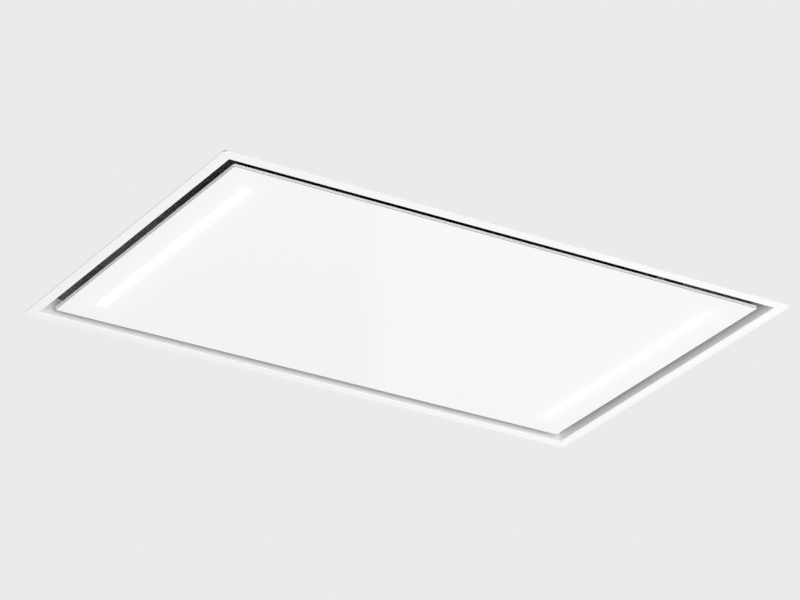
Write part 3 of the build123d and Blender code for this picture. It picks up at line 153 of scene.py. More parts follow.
class Finish(Graph):
    """A material with one Principled shader. Patterns follow the piece, in metres."""

    def __init__(self, name, colour, roughness, metallic=0.0):
        self.material = bpy.data.materials.new(name)
        self.material.use_nodes = True
        super().__init__(self.material.node_tree)
        self.tree.nodes.clear()
        self.shader = self.tree.nodes.new("ShaderNodeBsdfPrincipled")
        output = self.tree.nodes.new("ShaderNodeOutputMaterial")
        self.tree.links.new(self.shader.outputs[0], output.inputs["Surface"])
        self.set("Base Color", (*colour, 1.0))
        self.set("Roughness", roughness)
        self.set("Metallic", metallic)
        self.place = self.node("ShaderNodeTexCoord", None, None, "Object")

    def set(self, key, value):
        """One input of the shader, from a number, a colour or another node."""
        socket = self.shader.inputs[key]
        if isinstance(value, Value):
            self.tree.links.new(value.socket, socket)
        else:
            socket.default_value = value

    def level(self):
        """1 on a face that lies flat, 0 on an upright one."""
        normal = self.node("ShaderNodeTexCoord", None, None, "Normal")
        return abs(self.apart(normal)[2])

    def stretched(self, scale):
        """The place with each axis times its own number, for a pattern that runs one way."""
        return self.node("ShaderNodeVectorMath", {"operation": "MULTIPLY"}, {0: self.place, 1: scale})

    def cloud(self, size, detail=3.0, place=None):
        """Soft noise from 0 to 1 whose patches are about as large as given, in metres."""
        values = {"Vector": place or self.place, "Scale": 1.0 / size, "Detail": detail}
        return self.node("ShaderNodeTexNoise", None, values)

    def cells(self, size, output="Distance", place=None, feature="F1"):
        """Irregular cells about as large as given, in metres."""
        values = {"Vector": place or self.place, "Scale": 1.0 / size}
        return self.node("ShaderNodeTexVoronoi", {"feature": feature}, values, output)

    def blend(self, amount, low, high):
        """From one colour to another."""
        low = low if isinstance(low, Value) else (*low, 1.0)
        high = high if isinstance(high, Value) else (*high, 1.0)
        values = {"Factor_Float": amount, "A_Color": low, "B_Color": high}
        return self.node("ShaderNodeMix", {"data_type": "RGBA"}, values, "Result_Color")

    def bump(self, height, depth):
        """Relief from 0 to 1 in height, as deep as given in metres."""
        values = {"Height": height, "Strength": 1.0, "Distance": depth}
        self.set("Normal", self.node("ShaderNodeBump", None, values))

    def vary(self, key, amount, low, high):
        """A number that goes from low to high."""
        self.set(key, amount * (high - low) + low)


# ---------------------------------------------------------------- finishes


def powder_coat(name, light, dark, roughness):
    """Baked powder: a faint orange peel, a shade that drifts, and a skin that shines on flat faces."""
    finish = Finish(name, light, roughness)
    peel = finish.cloud(1.4 * MM, 2.0)
    drift = finish.cloud(180 * MM, 2.0)
    finish.set("Base Color", finish.blend(drift, dark, light))
    finish.vary("Roughness", finish.cloud(9 * MM), roughness - 0.04, roughness + 0.06)
    finish.vary("Coat Weight", finish.between(finish.level(), 0.75, 0.97), SIDE_COAT, 1.0)
    finish.set("Coat Roughness", 0.25)
    finish.set("Coat IOR", 2.6)
    finish.bump(peel, 0.012 * MM)
    return finish.material


def back_painted_glass():
    """White paint behind clear glass, with a grey edge and a painted glow round the strips."""
    finish = Finish("back_painted_glass", (0.93, 0.93, 0.94), 0.03)
    x, y, _ = finish.apart(finish.place)
    face = finish.between(finish.level(), 0.35, 0.8)
    drift = finish.cloud(220 * MM, 2.0)
    paint = finish.blend(drift, (0.92, 0.92, 0.937), (0.93, 0.93, 0.944))
    _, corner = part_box("glass_panel")
    rim = finish.greater(finish.largest(abs(x) - corner.x, abs(y) - corner.y), -1 * MM)
    edge = finish.blend(rim, (0.78, 0.79, 0.77), (0.35, 0.365, 0.365))
    finish.set("Base Color", finish.blend(face, edge, paint))
    low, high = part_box("light_diffuser_right")
    past_side = finish.largest(abs(abs(x) - (low.x + high.x) / 2) - (high.x - low.x) / 2, 0.0)
    past_end = finish.largest(abs(y) - (high.y - low.y) / 2, 0.0)
    from_strip = finish.sum("SQRT", past_side ** 2.0 + past_end ** 2.0)
    # Painted glow: the glass itself emits light that fades over 15 mm round each strip.
    painted_glow = finish.sum("EXPONENT", from_strip / (-15 * MM))
    finish.set("Emission Color", finish.blend(painted_glow, (0.0, 0.0, 0.0), (0.043, 0.043, 0.032)))
    finish.set("Emission Strength", 1.0)
    finish.vary("Roughness", finish.cloud(60 * MM, 4.0), 0.02, 0.035)
    return finish.material


def lit_opal():
    """The lit strip: opal plastic, brightest along its middle, whiter over each light source behind."""
    finish = Finish("lit_opal", (0.32, 0.32, 0.315), 0.45)
    x, y, _ = finish.apart(finish.place)
    low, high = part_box("light_diffuser_right")
    from_middle = abs(abs(x) - (low.x + high.x) / 2)
    from_end = high.y - abs(y)
    sides = finish.between(from_middle, 3 * MM, 8 * MM)
    ends = finish.between(from_end, 9 * MM, 3 * MM)
    fade = finish.largest(sides, ends)
    source = finish.sum("COSINE", y * (FULL_TURN / (16 * MM)))
    grain = finish.cloud(3 * MM, 2.0)
    warm = finish.blend(source * 0.3 + grain * 0.2 + 0.3, (1.0, 0.99, 0.975), (1.0, 1.0, 1.0))
    finish.set("Emission Color", finish.blend(fade, warm, (0.66, 0.66, 0.64)))
    finish.set("Emission Strength", 1.3)
    finish.bump(grain, 0.01 * MM)
    return finish.material


def zinc_sheet(name, dull, shiny):
    """Galvanised sheet: zinc crystals that each catch the light in their own way, over rolling lines."""
    finish = Finish(name, shiny, 0.42, 0.5)
    noise = finish.node("ShaderNodeTexNoise", None, {"Vector": finish.place, "Scale": 60.0}, "Color")
    wander = finish.node("ShaderNodeVectorMath", {"operation": "SCALE"}, {0: noise, "Scale": 5 * MM})
    place = finish.node("ShaderNodeVectorMath", {"operation": "ADD"}, {0: finish.place, 1: wander})
    crystal, _, tone = finish.apart(finish.cells(11 * MM, "Color", place))
    fine, _, _ = finish.apart(finish.cells(4 * MM, "Color", place))
    shade = crystal * 0.65 + fine * 0.35
    stain = finish.between(finish.cloud(120 * MM, 5.0), 0.45, 0.75)
    bright = finish.blend(shade, dull, shiny)
    finish.set("Base Color", finish.blend(stain * 0.35, bright, (0.45, 0.45, 0.45)))
    rolled = finish.cloud(6 * MM, 3.0, finish.stretched((1.0, 0.06, 1.0)))
    finish.set("Roughness", tone * 0.16 + stain * 0.1 + 0.32)
    finish.bump(rolled * 0.6 + fine * 0.4, 0.012 * MM)
    return finish.material


def moulded_plastic(name, colour, roughness):
    """Injection-moulded plastic with a spark-eroded grain and faint flow marks."""
    finish = Finish(name, colour, roughness)
    lift = tuple(min(1.0, channel * 1.12 + 0.01) for channel in colour)
    flow = finish.cloud(70 * MM, 4.0, finish.stretched((1.0, 1.0, 0.3)))
    finish.set("Base Color", finish.blend(flow, colour, lift))
    finish.vary("Roughness", finish.cloud(14 * MM), roughness - 0.05, roughness + 0.08)
    finish.bump(finish.cloud(0.8 * MM, 2.0), 0.02 * MM)
    return finish.material


def lined_metal(name, light, dark, roughness, line=(1.0, 1.0, 0.1)):
    """Plated, ground or drawn metal: fine lines one way, with a duller bloom in patches."""
    finish = Finish(name, light, roughness, 1.0)
    lines = finish.cloud(0.5 * MM, 3.0, finish.stretched(line))
    bloom = finish.cloud(5 * MM, 4.0)
    finish.set("Base Color", finish.blend(bloom, dark, light))
    finish.vary("Roughness", lines, roughness - 0.06, roughness + 0.12)
    finish.bump(lines, 0.006 * MM)
    return finish.material


def cast_aluminium():
    """The motor's can: die-cast, with a fine skin and darker speckle."""
    finish = Finish("cast_aluminium", (0.56, 0.57, 0.58), 0.5, 0.9)
    skin = finish.cloud(0.9 * MM, 4.0)
    speckle = finish.between(finish.cells(2.2 * MM), 0.25, 0.45)
    finish.set("Base Color", finish.blend(speckle, (0.46, 0.47, 0.48), (0.60, 0.61, 0.62)))
    finish.vary("Roughness", skin, 0.42, 0.58)
    finish.bump(skin, 0.03 * MM)
    return finish.material


def stamped_stack():
    """Core laminations: half-millimetre sheets one on another, with varnish between."""
    finish = Finish("stamped_laminations", (0.26, 0.26, 0.27), 0.5, 0.9)
    _, _, z = finish.apart(finish.place)
    groove = finish.between(abs(z / (0.5 * MM) % 1.0 - 0.5), 0.36, 0.48)
    rust = finish.cloud(6 * MM, 5.0)
    steel = finish.blend(rust, (0.20, 0.20, 0.21), (0.31, 0.30, 0.30))
    finish.set("Base Color", finish.blend(groove, steel, (0.09, 0.07, 0.05)))
    finish.vary("Roughness", rust, 0.4, 0.6)
    finish.bump(1 - groove, 0.05 * MM)
    return finish.material


def foam_tape():
    """Grey foam bonding tape with open pores."""
    finish = Finish("foam_tape", (0.14, 0.14, 0.145), 0.9)
    pore = finish.between(finish.cells(0.9 * MM), 0.2, 0.5)
    finish.set("Base Color", finish.blend(pore, (0.08, 0.08, 0.085), (0.20, 0.20, 0.205)))
    finish.vary("Roughness", pore, 0.8, 0.95)
    finish.bump(pore, 0.1 * MM)
    return finish.material


def soft_rubber():
    """Motor mounts: black rubber with a bloom."""
    finish = Finish("black_rubber", (0.03, 0.03, 0.03), 0.75)
    bloom = finish.cloud(4 * MM, 5.0)
    finish.set("Base Color", finish.blend(bloom, (0.022, 0.022, 0.023), (0.05, 0.05, 0.052)))
    finish.vary("Roughness", bloom, 0.65, 0.85)
    finish.bump(finish.cloud(0.6 * MM), 0.03 * MM)
    return finish.material


def anodised_black():
    """Brown-black anodised aluminium of the grease filters: fine drawn lines under the dye."""
    finish = Finish("filter_black", (0.045, 0.040, 0.037), 0.45, 0.6)
    lines = finish.cloud(0.7 * MM, 3.0, finish.stretched((0.05, 1.0, 1.0)))
    film = finish.cloud(35 * MM, 4.0)
    finish.set("Base Color", finish.blend(film, (0.036, 0.032, 0.029), (0.056, 0.049, 0.044)))
    finish.vary("Roughness", lines, 0.40, 0.55)
    finish.bump(lines, 0.01 * MM)
    return finish.material


def circuit_board_finish():
    """The control board: green mask over tracks, with black parts standing on it."""
    finish = Finish("green_circuit_board", (0.03, 0.18, 0.09), 0.35)
    _, _, z = finish.apart(finish.place)
    tracks = finish.cells(5 * MM, "Distance", None, "DISTANCE_TO_EDGE")
    copper = finish.between(tracks, 0.12, 0.06)
    mask = finish.blend(copper, (0.02, 0.15, 0.07), (0.06, 0.28, 0.13))
    low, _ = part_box("circuit_board")
    part = finish.greater(z, low.z + BOARD_THICKNESS + 0.1 * MM)
    lot = finish.cells(12 * MM, "Color")
    body = finish.blend(finish.apart(lot)[0], (0.015, 0.015, 0.016), (0.05, 0.05, 0.07))
    finish.set("Base Color", finish.blend(part, mask, body))
    finish.vary("Roughness", part, 0.3, 0.5)
    finish.bump(copper * (1 - part), 0.03 * MM)
    return finish.material


def led_board_finish():
    """White board, with the yellow phosphor of each light source below it."""
    finish = Finish("led_board", (0.88, 0.88, 0.86), 0.35)
    _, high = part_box("led_board_right")
    _, _, z = finish.apart(finish.place)
    package = finish.greater(high.z - BOARD_THICKNESS - 0.05 * MM, z)
    dust = finish.cloud(8 * MM)
    white = finish.blend(dust, (0.84, 0.84, 0.81), (0.90, 0.90, 0.88))
    finish.set("Base Color", finish.blend(package, white, (0.85, 0.68, 0.16)))
    finish.vary("Roughness", dust, 0.3, 0.45)
    finish.bump(dust, 0.01 * MM)
    return finish.material


WHITE = powder_coat("white_powder_coat", (0.955, 0.955, 0.958), (0.94, 0.94, 0.944), 0.42)
GLASS = back_painted_glass()
OPAL = lit_opal()
ZINC_SHEET = zinc_sheet("galvanised_sheet", (0.53, 0.54, 0.555), (0.64, 0.65, 0.665))
# The deck's warm brown tint is painted light: it stands in for warm light the deck reflects, where plain
# zinc is grey.
ZINC_WITH_PAINTED_WARM_LIGHT = zinc_sheet("galvanised_deck", (0.53, 0.485, 0.455), (0.64, 0.59, 0.56))
BLACK_COAT = powder_coat("black_powder_coat", (0.03, 0.03, 0.031), (0.022, 0.022, 0.023), 0.5)
FILTER = anodised_black()
SCREW_ZINC = lined_metal("zinc_plate", (0.76, 0.77, 0.77), (0.62, 0.62, 0.61), 0.30)
MAGNET = lined_metal("nickel_plate", (0.60, 0.59, 0.57), (0.52, 0.51, 0.50), 0.22)
STRIKE = lined_metal("strike_steel", (0.66, 0.66, 0.66), (0.55, 0.55, 0.54), 0.38, (0.05, 1.0, 1.0))
GROUND = lined_metal("ground_steel", (0.74, 0.74, 0.75), (0.66, 0.66, 0.67), 0.16)
CHANNEL = lined_metal("satin_aluminium", (0.80, 0.81, 0.82), (0.70, 0.71, 0.73), 0.32, (1.0, 0.02, 1.0))
SCROLL = moulded_plastic("scroll_plastic", (0.11, 0.11, 0.115), 0.5)
WHEEL = moulded_plastic("wheel_plastic", (0.06, 0.06, 0.065), 0.45)
SPIGOT = moulded_plastic("spigot_plastic", (0.055, 0.055, 0.058), 0.48)
GLAND = moulded_plastic("black_plastic", (0.035, 0.035, 0.036), 0.42)
BLOCK = moulded_plastic("white_plastic", (0.80, 0.80, 0.78), 0.4)

NODES_OF = (
    (WHITE, ("trim_frame", "panel_tray")),
    (GLASS, ("glass_panel",)),
    (OPAL, ("light_diffuser_left", "light_diffuser_right")),
    (foam_tape(), ("bonding_tape",)),
    (CHANNEL, ("light_channel_left", "light_channel_right")),
    (led_board_finish(), ("led_board_left", "led_board_right")),
    (ZINC_SHEET, (
        "housing", "motor_box", "motor_box_cover", "outlet_duct", "suspension_brackets", "control_box",
        "control_cover", "motor_plate", "hinge_arms",
    )),
    (ZINC_WITH_PAINTED_WARM_LIGHT, ("filter_deck", "wiring_channels", "filter_ledges")),
    (BLACK_COAT, ("hinge_brackets", "catch_brackets")),
    (FILTER, (
        "filter_frame_left", "filter_frame_right", "filter_mesh_left", "filter_mesh_right",
        "filter_handle_left", "filter_handle_right",
    )),
    (STRIKE, ("strike_plates",)),
    (MAGNET, ("catch_magnets", "filter_magnets")),
    (SCREW_ZINC, (
        "trim_screws", "deck_screws", "top_screws", "panel_nuts", "impeller_nut", "hinge_pins",
        "damper_axle",
    )),
    (SCROLL, ("scroll_lower", "scroll_upper", "inlet_ring")),
    (WHEEL, ("impeller_ring", "impeller_blades", "impeller_plate")),
    (cast_aluminium(), ("motor_can", "motor_cap")),
    (GROUND, ("motor_bearings", "motor_shaft")),
    (stamped_stack(), ("motor_stator", "motor_rotor")),
    (soft_rubber(), ("rubber_mounts",)),
    (SPIGOT, ("outlet_spigot", "damper_flap_left", "damper_flap_right")),
    (circuit_board_finish(), ("circuit_board",)),
    (BLOCK, ("terminal_block", "light_driver")),
    (GLAND, ("cable_fittings",)),
)


def dress(piece, material):
    """Gives a piece one finish in every slot."""
    if not piece.data.materials:
        piece.data.materials.append(material)
    for slot in piece.material_slots:
        slot.material = material


for material, names in NODES_OF:
    for name in names:
        dress(nodes[name], material)


# ---------------------------------------------------------------- what repeats: screws and filter mesh


class Rule(Graph):
    """A Geometry Nodes tree with a named input for each size."""

    def __init__(self, name, sizes):
        super().__init__(bpy.data.node_groups.new(name, "GeometryNodeTree"))
        self.sizes = sizes
        sockets = self.tree.interface
        sockets.new_socket("Geometry", in_out="INPUT", socket_type="NodeSocketGeometry")
        sockets.new_socket("Geometry", in_out="OUTPUT", socket_type="NodeSocketGeometry")
        for key, value in sizes.items():
            kind = "NodeSocketInt" if isinstance(value, int) else "NodeSocketFloat"
            sockets.new_socket(key, in_out="INPUT", socket_type=kind)
        self.inputs = self.tree.nodes.new("NodeGroupInput")
        self.points = self.size("Geometry")

    def size(self, key):
        """One of the tree's inputs."""
        return Value(self, self.inputs.outputs[key])

    def vector(self, x=0.0, y=0.0, z=0.0):
        return self.node("ShaderNodeCombineXYZ", None, {0: x, 1: y, 2: z})

    def turned(self, sides, rows, profile):
        """A skin turned about Z. The profile gives radius and height from how far along and around."""
        values = {"Size X": 1.0, "Size Y": 1.0, "Vertices X": sides + 1, "Vertices Y": rows}
        sheet = self.node("GeometryNodeMeshGrid", None, values)
        x, y, _ = self.apart(self.node("GeometryNodeInputPosition"))
        around = x + 0.5
        radius, height = profile(y + 0.5, around)
        angle = around * FULL_TURN
        sideways = self.sum("COSINE", angle), self.sum("SINE", angle)
        place = self.vector(radius * sideways[0], radius * sideways[1], height)
        skin = self.node("GeometryNodeSetPosition", None, {"Geometry": sheet, "Position": place})
        return self.node("GeometryNodeMergeByDistance", None, {"Geometry": skin, "Distance": WELD_GAP})

    def copies(self, points, instance, rotation=None, scale=None):
        """The instance on each point."""
        values = {"Points": points, "Instance": instance}
        if rotation:
            values["Rotation"] = rotation
        if scale:
            values["Scale"] = scale
        return self.node("GeometryNodeInstanceOnPoints", None, values)

    def row(self, count, offset):
        """Points in a row, joined by edges."""
        values = {"Count": count, "Offset": offset}
        return self.node("GeometryNodeMeshLine", {"mode": "OFFSET"}, values)

    def whole(self, geometry):
        """Copies made real."""
        return self.node("GeometryNodeRealizeInstances", None, {0: geometry})

    def joined(self, *parts):
        join = self.node("GeometryNodeJoinGeometry")
        for part in parts:
            self.tree.links.new(part.socket, join.socket.node.inputs[0])
        return join

    def end(self, geometry, material):
        """The tree's last nodes: everything a plain mesh, in one finish."""
        values = {"Geometry": self.whole(geometry), "Material": material}
        dressed = self.node("GeometryNodeSetMaterial", None, values)
        output = self.tree.nodes.new("NodeGroupOutput")
        self.tree.links.new(dressed.socket, output.inputs[0])

    def grow(self, name, points, facings=()):
        """The plain mesh that the rule makes on points, as a piece. Facings turn what stands on each."""
        start = bpy.data.meshes.new(name)
        start.from_pydata(points, [], [])
        if facings:
            attribute = start.attributes.new("facing", "FLOAT_VECTOR", "POINT")
            attribute.data.foreach_set("vector", [number for facing in facings for number in facing])
        piece = into_scene(name, start)
        modifier = piece.modifiers.new(name, "NODES")
        modifier.node_group = self.tree
        for item in self.tree.interface.items_tree:
            if item.name in self.sizes:
                modifier[item.identifier] = self.sizes[item.name]
        ready = piece.evaluated_get(bpy.context.evaluated_depsgraph_get())
        mesh = bpy.data.meshes.new_from_object(ready)
        piece.modifiers.clear()
        piece.data = mesh
        mesh.shade_smooth()
        mesh.set_sharp_from_angle(angle=SHARP_CORNER)
        return piece


SCREW_HEAD = 2.2 * MM
SCREW_SHANK = 8.0 * MM
SHANK_REACH = 2.5 * MM
HEAD_ROWS = 11
SHANK_ROWS = 37
UNDERSIDE = 0.1


def screw_rule():
    """Pan-head sheet-metal screws: a domed head with a cross recess, and a thread to a point."""
    rule = Rule("pan_head_screws", {
        "Head Radius": 3.8 * MM, "Head Height": SCREW_HEAD,
        "Shank Radius": 2.0 * MM, "Shank Length": SCREW_SHANK, "Point Share": 0.25,
        "Thread Pitch": 1.4 * MM, "Thread Depth": 0.4 * MM,
        "Recess Width": 0.9 * MM, "Recess Length": 4.4 * MM, "Recess Depth": 1.3 * MM,
        "Head Sides": 24, "Shank Sides": 12, "Seed": 7,
    })

    def head_profile(along, _):
        dome = rule.largest((along - UNDERSIDE) / (1 - UNDERSIDE), 0.0) * (math.pi / 2)
        flat = rule.sum("MINIMUM", along / UNDERSIDE, 1.0)
        radius = flat * rule.sum("COSINE", dome) ** 0.7 * rule.size("Head Radius")
        return radius, rule.sum("SINE", dome) ** 0.8 * rule.size("Head Height")

    def shank_profile(along, around):
        height = (along - 1.0) * rule.size("Shank Length")
        crest = abs((height / rule.size("Thread Pitch") - around) % 1.0 - 0.5) * 2.0
        point = rule.sum("MINIMUM", along / rule.size("Point Share"), 1.0) ** 0.7
        radius = rule.size("Shank Radius") - (1.0 - crest) * rule.size("Thread Depth")
        return radius * point, height

    head = rule.turned(rule.size("Head Sides"), HEAD_ROWS, head_profile)
    width, length = rule.size("Recess Width"), rule.size("Recess Length")
    deep = rule.size("Recess Depth") * 2.0
    cut = rule.node("GeometryNodeMeshBoolean", {"operation": "DIFFERENCE"}, {"Mesh 1": head})
    for bar in (rule.vector(length, width, deep), rule.vector(width, length, deep)):
        cube = rule.node("GeometryNodeMeshCube", None, {"Size": bar})
        values = {"Geometry": cube, "Translation": rule.vector(0.0, 0.0, rule.size("Head Height"))}
        raised = rule.node("GeometryNodeTransform", None, values)
        rule.tree.links.new(raised.socket, cut.socket.node.inputs["Mesh 2"])
    shank = rule.turned(rule.size("Shank Sides"), SHANK_ROWS, shank_profile)
    vector = {"data_type": "FLOAT_VECTOR"}
    facing = rule.node("GeometryNodeInputNamedAttribute", vector, {"Name": "facing"})
    upright = rule.node("FunctionNodeAlignRotationToVector", {"axis": "Z"}, {"Vector": facing})
    values = {"Min_001": 0.0, "Max_001": FULL_TURN, "Seed": rule.size("Seed")}
    chance = rule.node("FunctionNodeRandomValue", {"data_type": "FLOAT"}, values, "Value_001")
    twist = rule.node("FunctionNodeEulerToRotation", None, {0: rule.vector(0.0, 0.0, chance)})
    values = {"Rotation": upright, "Rotate By": twist}
    turn = rule.node("FunctionNodeRotateRotation", {"rotation_space": "LOCAL"}, values)
    rule.end(rule.copies(rule.points, rule.joined(cut, shank), turn), SCREW_ZINC)
    return rule


def mesh_rule(length, width):
    """Grease-filter mesh: zigzag strands that meet in diamonds, in layers a little off each other."""
    rule = Rule("expanded_metal", {
        "Length": length, "Width": width, "Cells": 18, "Strands": 44, "Layers": 3,
        "Strand Width": 1.3 * MM, "Strand Thickness": 0.45 * MM,
        "Layer Gap": 1.45 * MM, "Layer Shift": 3.0 * MM,
    })
    step = rule.size("Length") / (rule.size("Cells") * 2.0)
    rise = rule.size("Width") / rule.size("Strands")
    odd = rule.node("GeometryNodeInputIndex") % 2.0
    line = rule.row(rule.size("Cells") * 2.0 + 1.0, rule.vector(step))
    values = {"Geometry": line, "Offset": rule.vector(0.0, (odd - 0.5) * rise)}
    zigzag = rule.node("GeometryNodeSetPosition", None, values)
    rows = rule.row(rule.size("Strands"), rule.vector(0.0, rise))
    sheet = rule.whole(rule.copies(rows, zigzag, None, rule.vector(1.0, 1.0 - odd * 2.0, 1.0)))
    strands = rule.node("GeometryNodeMeshToCurve", None, {"Mesh": sheet})
    values = {"Width": rule.size("Strand Width"), "Height": rule.size("Strand Thickness")}
    section = rule.node("GeometryNodeCurvePrimitiveQuadrilateral", None, values)
    values = {"Curve": strands, "Profile Curve": section, "Fill Caps": True}
    layer = rule.node("GeometryNodeCurveToMesh", None, values)
    shift = rule.size("Layer Shift")
    levels = rule.row(rule.size("Layers"), rule.vector(shift, shift * 0.5, rule.size("Layer Gap")))
    last = rule.size("Layers") - 1.0
    centre = rule.vector(
        (rule.size("Length") + last * shift) * -0.5,
        (rule.size("Width") - rise + last * shift * 0.5) * -0.5,
        last * rule.size("Layer Gap") * -0.5,
    )
    values = {"Geometry": rule.whole(rule.copies(levels, layer)), "Translation": centre}
    mat = rule.node("GeometryNodeTransform", None, values)
    rule.end(rule.copies(rule.points, mat), FILTER)
    return rule


def loose_parts(shape):
    """The vertices of each part of a mesh that no edge joins to the rest."""
    seen = set()
    for first in shape.verts:
        if first.index in seen:
            continue
        seen.add(first.index)
        part = [first]
        for vertex in part:
            for edge in vertex.link_edges:
                other = edge.other_vert(vertex)
                if other.index not in seen:
                    seen.add(other.index)
                    part.append(other)
        yield part


def screw_seat(corners):
    """Where a screw's head sits and which way it faces, from the corners of its CAD shape."""
    low, high = (Vector([pick(c[i] for c in corners) for i in range(3)]) for pick in (min, max))
    axis = max(range(3), key=lambda i: high[i] - low[i])
    middle = (low + high) / 2
    side = (axis + 1) % 3
    on_head = next(c for c in corners if abs(c[side] - middle[side]) > SHANK_REACH)
    facing = Vector((0.0, 0.0, 0.0))
    facing[axis] = 1.0 if on_head[axis] > middle[axis] else -1.0
    return middle + facing * ((SCREW_SHANK - SCREW_HEAD) / 2), facing


def screw_seats(piece):
    """The seat of each screw in a piece that holds many."""
    shape = bmesh.new()
    shape.from_mesh(piece.data)
    shape.transform(piece.matrix_world)
    bmesh.ops.remove_doubles(shape, verts=shape.verts, dist=SEAM_GAP)
    seats = [screw_seat([vertex.co for vertex in part]) for part in loose_parts(shape)]
    shape.free()
    return seats


SCREWS = screw_rule()
for name in ("trim_screws", "deck_screws", "top_screws"):
    places, facings = zip(*screw_seats(nodes[name]))
    screws = SCREWS.grow(name + "_threaded", places, facings)
    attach(screws, "hood")
    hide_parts(name)

MESH_INSET = 12 * MM
for side in ("left", "right"):
    low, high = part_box("filter_mesh_" + side)
    breadth = high - low
    mats = mesh_rule(breadth.x - MESH_INSET, breadth.y - MESH_INSET)
    strands = mats.grow("expanded_mesh_" + side, [(low + high) / 2])
    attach(strands, "filter_" + side)
    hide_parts("filter_mesh_" + side)


# ---------------------------------------------------------------- ceiling, light and camera

CEILING_HALF = 9.0
CEILING_COLOUR = (0.823, 0.831, 0.847, 1.0)

WORLD_LIGHT = 0.885

# The room that the panel and the flange mirror: how bright it is left of its upright edge, the step up
# at that edge, and how it darkens far to the left and brightens far to the right.
ROOM_EDGE = math.radians(59.35)
ROOM_EDGE_BLUR = 0.004
ROOM_DIM = 0.74
ROOM_STEP = 0.22
ROOM_SIDE_FROM = 0.09
ROOM_SIDE_TO = 0.25
ROOM_DARK_SIDE = 0.50
ROOM_WINDOW = 0.60

LAMP_PLACE = Vector((-2.5, -9.8, -3.2))
LAMP_SIZE = 4.0
LAMP_POWER = 430.0

# The camera was fitted to the corners of the flange, the opening and the panel in the photograph.
CAMERA_PLACE = Vector((-2.7905, -4.6224, -2.5482))
CAMERA_HEADING = math.radians(58.9707)
CAMERA_RISE = math.radians(25.3883)
CAMERA_ROLL = math.radians(0.1508)
FOCAL_PIXELS = 4285.6
PHOTO_WIDTH = 800
SENSOR_WIDTH = 36.0
CLIP_END = 100.0


def ring_mesh(name, outer, hole):
    """A flat sheet at the ceiling's face that faces down, with a hole. Sizes are halves, in x and y."""
    mesh = bpy.data.meshes.new(name)
    signs = ((-1, -1), (1, -1), (1, 1), (-1, 1))
    corners = [(half[0] * x, half[1] * y, 0.0) for half in (outer, hole) for x, y in signs]
    faces = [(i, i + 4, (i + 1) % 4 + 4, (i + 1) % 4) for i in range(4)]
    mesh.from_pydata(corners, [], faces)
    return mesh


def ceiling_finish():
    """Matt emulsion, evenly pale to the camera. From above it isn't there, so the hood's back shows."""
    finish = Finish("ceiling_paint", (0.35, 0.35, 0.36), 0.9)
    roller = finish.cloud(4 * MM, 3.0)
    finish.bump(roller, 0.02 * MM)
    finish.vary("Roughness", roller, 0.85, 0.95)
    behind = finish.node("ShaderNodeNewGeometry", None, None, "Backfacing")
    clear = finish.node("ShaderNodeBsdfTransparent")
    paint = Value(finish, finish.shader.outputs[0])
    seen = finish.node("ShaderNodeLightPath", None, None, "Is Camera Ray")
    pale = finish.node("ShaderNodeEmission", None, {"Color": CEILING_COLOUR, "Strength": 1.0})
    below = finish.node("ShaderNodeMixShader", None, {0: seen, 1: paint, 2: pale})
    both = finish.node("ShaderNodeMixShader", None, {0: behind, 1: below, 2: clear})
    output = next(n for n in finish.tree.nodes if n.type == "OUTPUT_MATERIAL")
    finish.tree.links.new(both.socket, output.inputs["Surface"])
    return finish.material


def make_ceiling():
    """The ceiling round the hood, open as far as the trim's flange reaches."""
    _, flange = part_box("trim_frame")
    ceiling = into_scene("ceiling", ring_mesh("ceiling", (CEILING_HALF, CEILING_HALF), flange.xy))
    ceiling.data.materials.append(ceiling_finish())


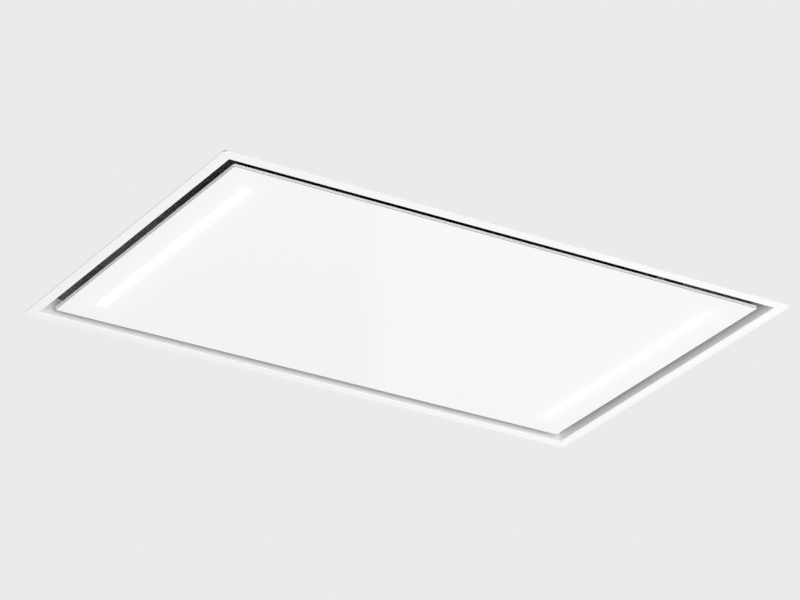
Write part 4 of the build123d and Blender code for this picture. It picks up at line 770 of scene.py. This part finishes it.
def make_world():
    """Plain white light from all round. What reflects sees a pale room with one upright edge in it."""
    world = bpy.data.worlds.new("studio")
    bpy.context.scene.world = world
    world.use_nodes = True
    graph = Graph(world.node_tree)
    graph.tree.nodes.clear()
    path = graph.node("ShaderNodeLightPath", None, None, "Is Camera Ray")
    mirrored = graph.largest(path.out("Is Glossy Ray"), path.out("Is Transmission Ray"))
    x, y, _ = graph.apart(graph.node("ShaderNodeTexCoord", None, None, "Generated"))
    sideways = x * math.sin(ROOM_EDGE) - y * math.cos(ROOM_EDGE)
    shade = graph.between(sideways, -ROOM_EDGE_BLUR, ROOM_EDGE_BLUR) * ROOM_STEP + ROOM_DIM
    shade = shade - graph.between(0 - sideways, ROOM_SIDE_FROM, ROOM_SIDE_TO) * ROOM_DARK_SIDE
    shade = shade + graph.between(sideways, ROOM_SIDE_FROM, ROOM_SIDE_TO) * ROOM_WINDOW
    light = graph.node("ShaderNodeBackground", None, {"Color": PLAIN_WHITE, "Strength": WORLD_LIGHT})
    room = graph.node("ShaderNodeBackground", None, {"Color": PLAIN_WHITE, "Strength": shade})
    backdrop = graph.node("ShaderNodeBackground", None, {"Color": CEILING_COLOUR, "Strength": 1.0})
    lit = graph.node("ShaderNodeMixShader", None, {0: mirrored, 1: light, 2: room})
    both = graph.node("ShaderNodeMixShader", None, {0: path, 1: lit, 2: backdrop})
    graph.node("ShaderNodeOutputWorld", None, {"Surface": both})


def add_lamp():
    """A large soft lamp, low in front, that faces the hood."""
    lamp = bpy.data.lights.new("low_front_lamp", "AREA")
    lamp.shape = "SQUARE"
    lamp.size = LAMP_SIZE
    lamp.energy = LAMP_POWER
    holder = into_scene("low_front_lamp", lamp)
    holder.location = LAMP_PLACE
    holder.rotation_euler = (-LAMP_PLACE).to_track_quat("-Z", "Y").to_euler()


def make_camera():
    """The photograph's camera: far off, a little below the ceiling, with a long lens."""
    along = math.cos(CAMERA_RISE)
    heading = along * math.cos(CAMERA_HEADING), along * math.sin(CAMERA_HEADING)
    ahead = Vector((*heading, math.sin(CAMERA_RISE)))
    across = ahead.cross(Vector((0, 0, 1))).normalized()
    up = across.cross(ahead)
    turned = across * math.cos(CAMERA_ROLL) + up * math.sin(CAMERA_ROLL)
    upright = up * math.cos(CAMERA_ROLL) - across * math.sin(CAMERA_ROLL)
    camera = bpy.data.cameras.new("camera")
    camera.sensor_width = SENSOR_WIDTH
    camera.lens = FOCAL_PIXELS / PHOTO_WIDTH * SENSOR_WIDTH
    camera.clip_end = CLIP_END
    holder = into_scene("camera", camera)
    turn = Matrix((turned, upright, -ahead)).transposed()
    holder.matrix_world = Matrix.Translation(CAMERA_PLACE) @ turn.to_4x4()
    bpy.context.scene.camera = holder


make_ceiling()
make_world()
add_lamp()
make_camera()
bpy.context.scene.view_settings.view_transform = "Standard"
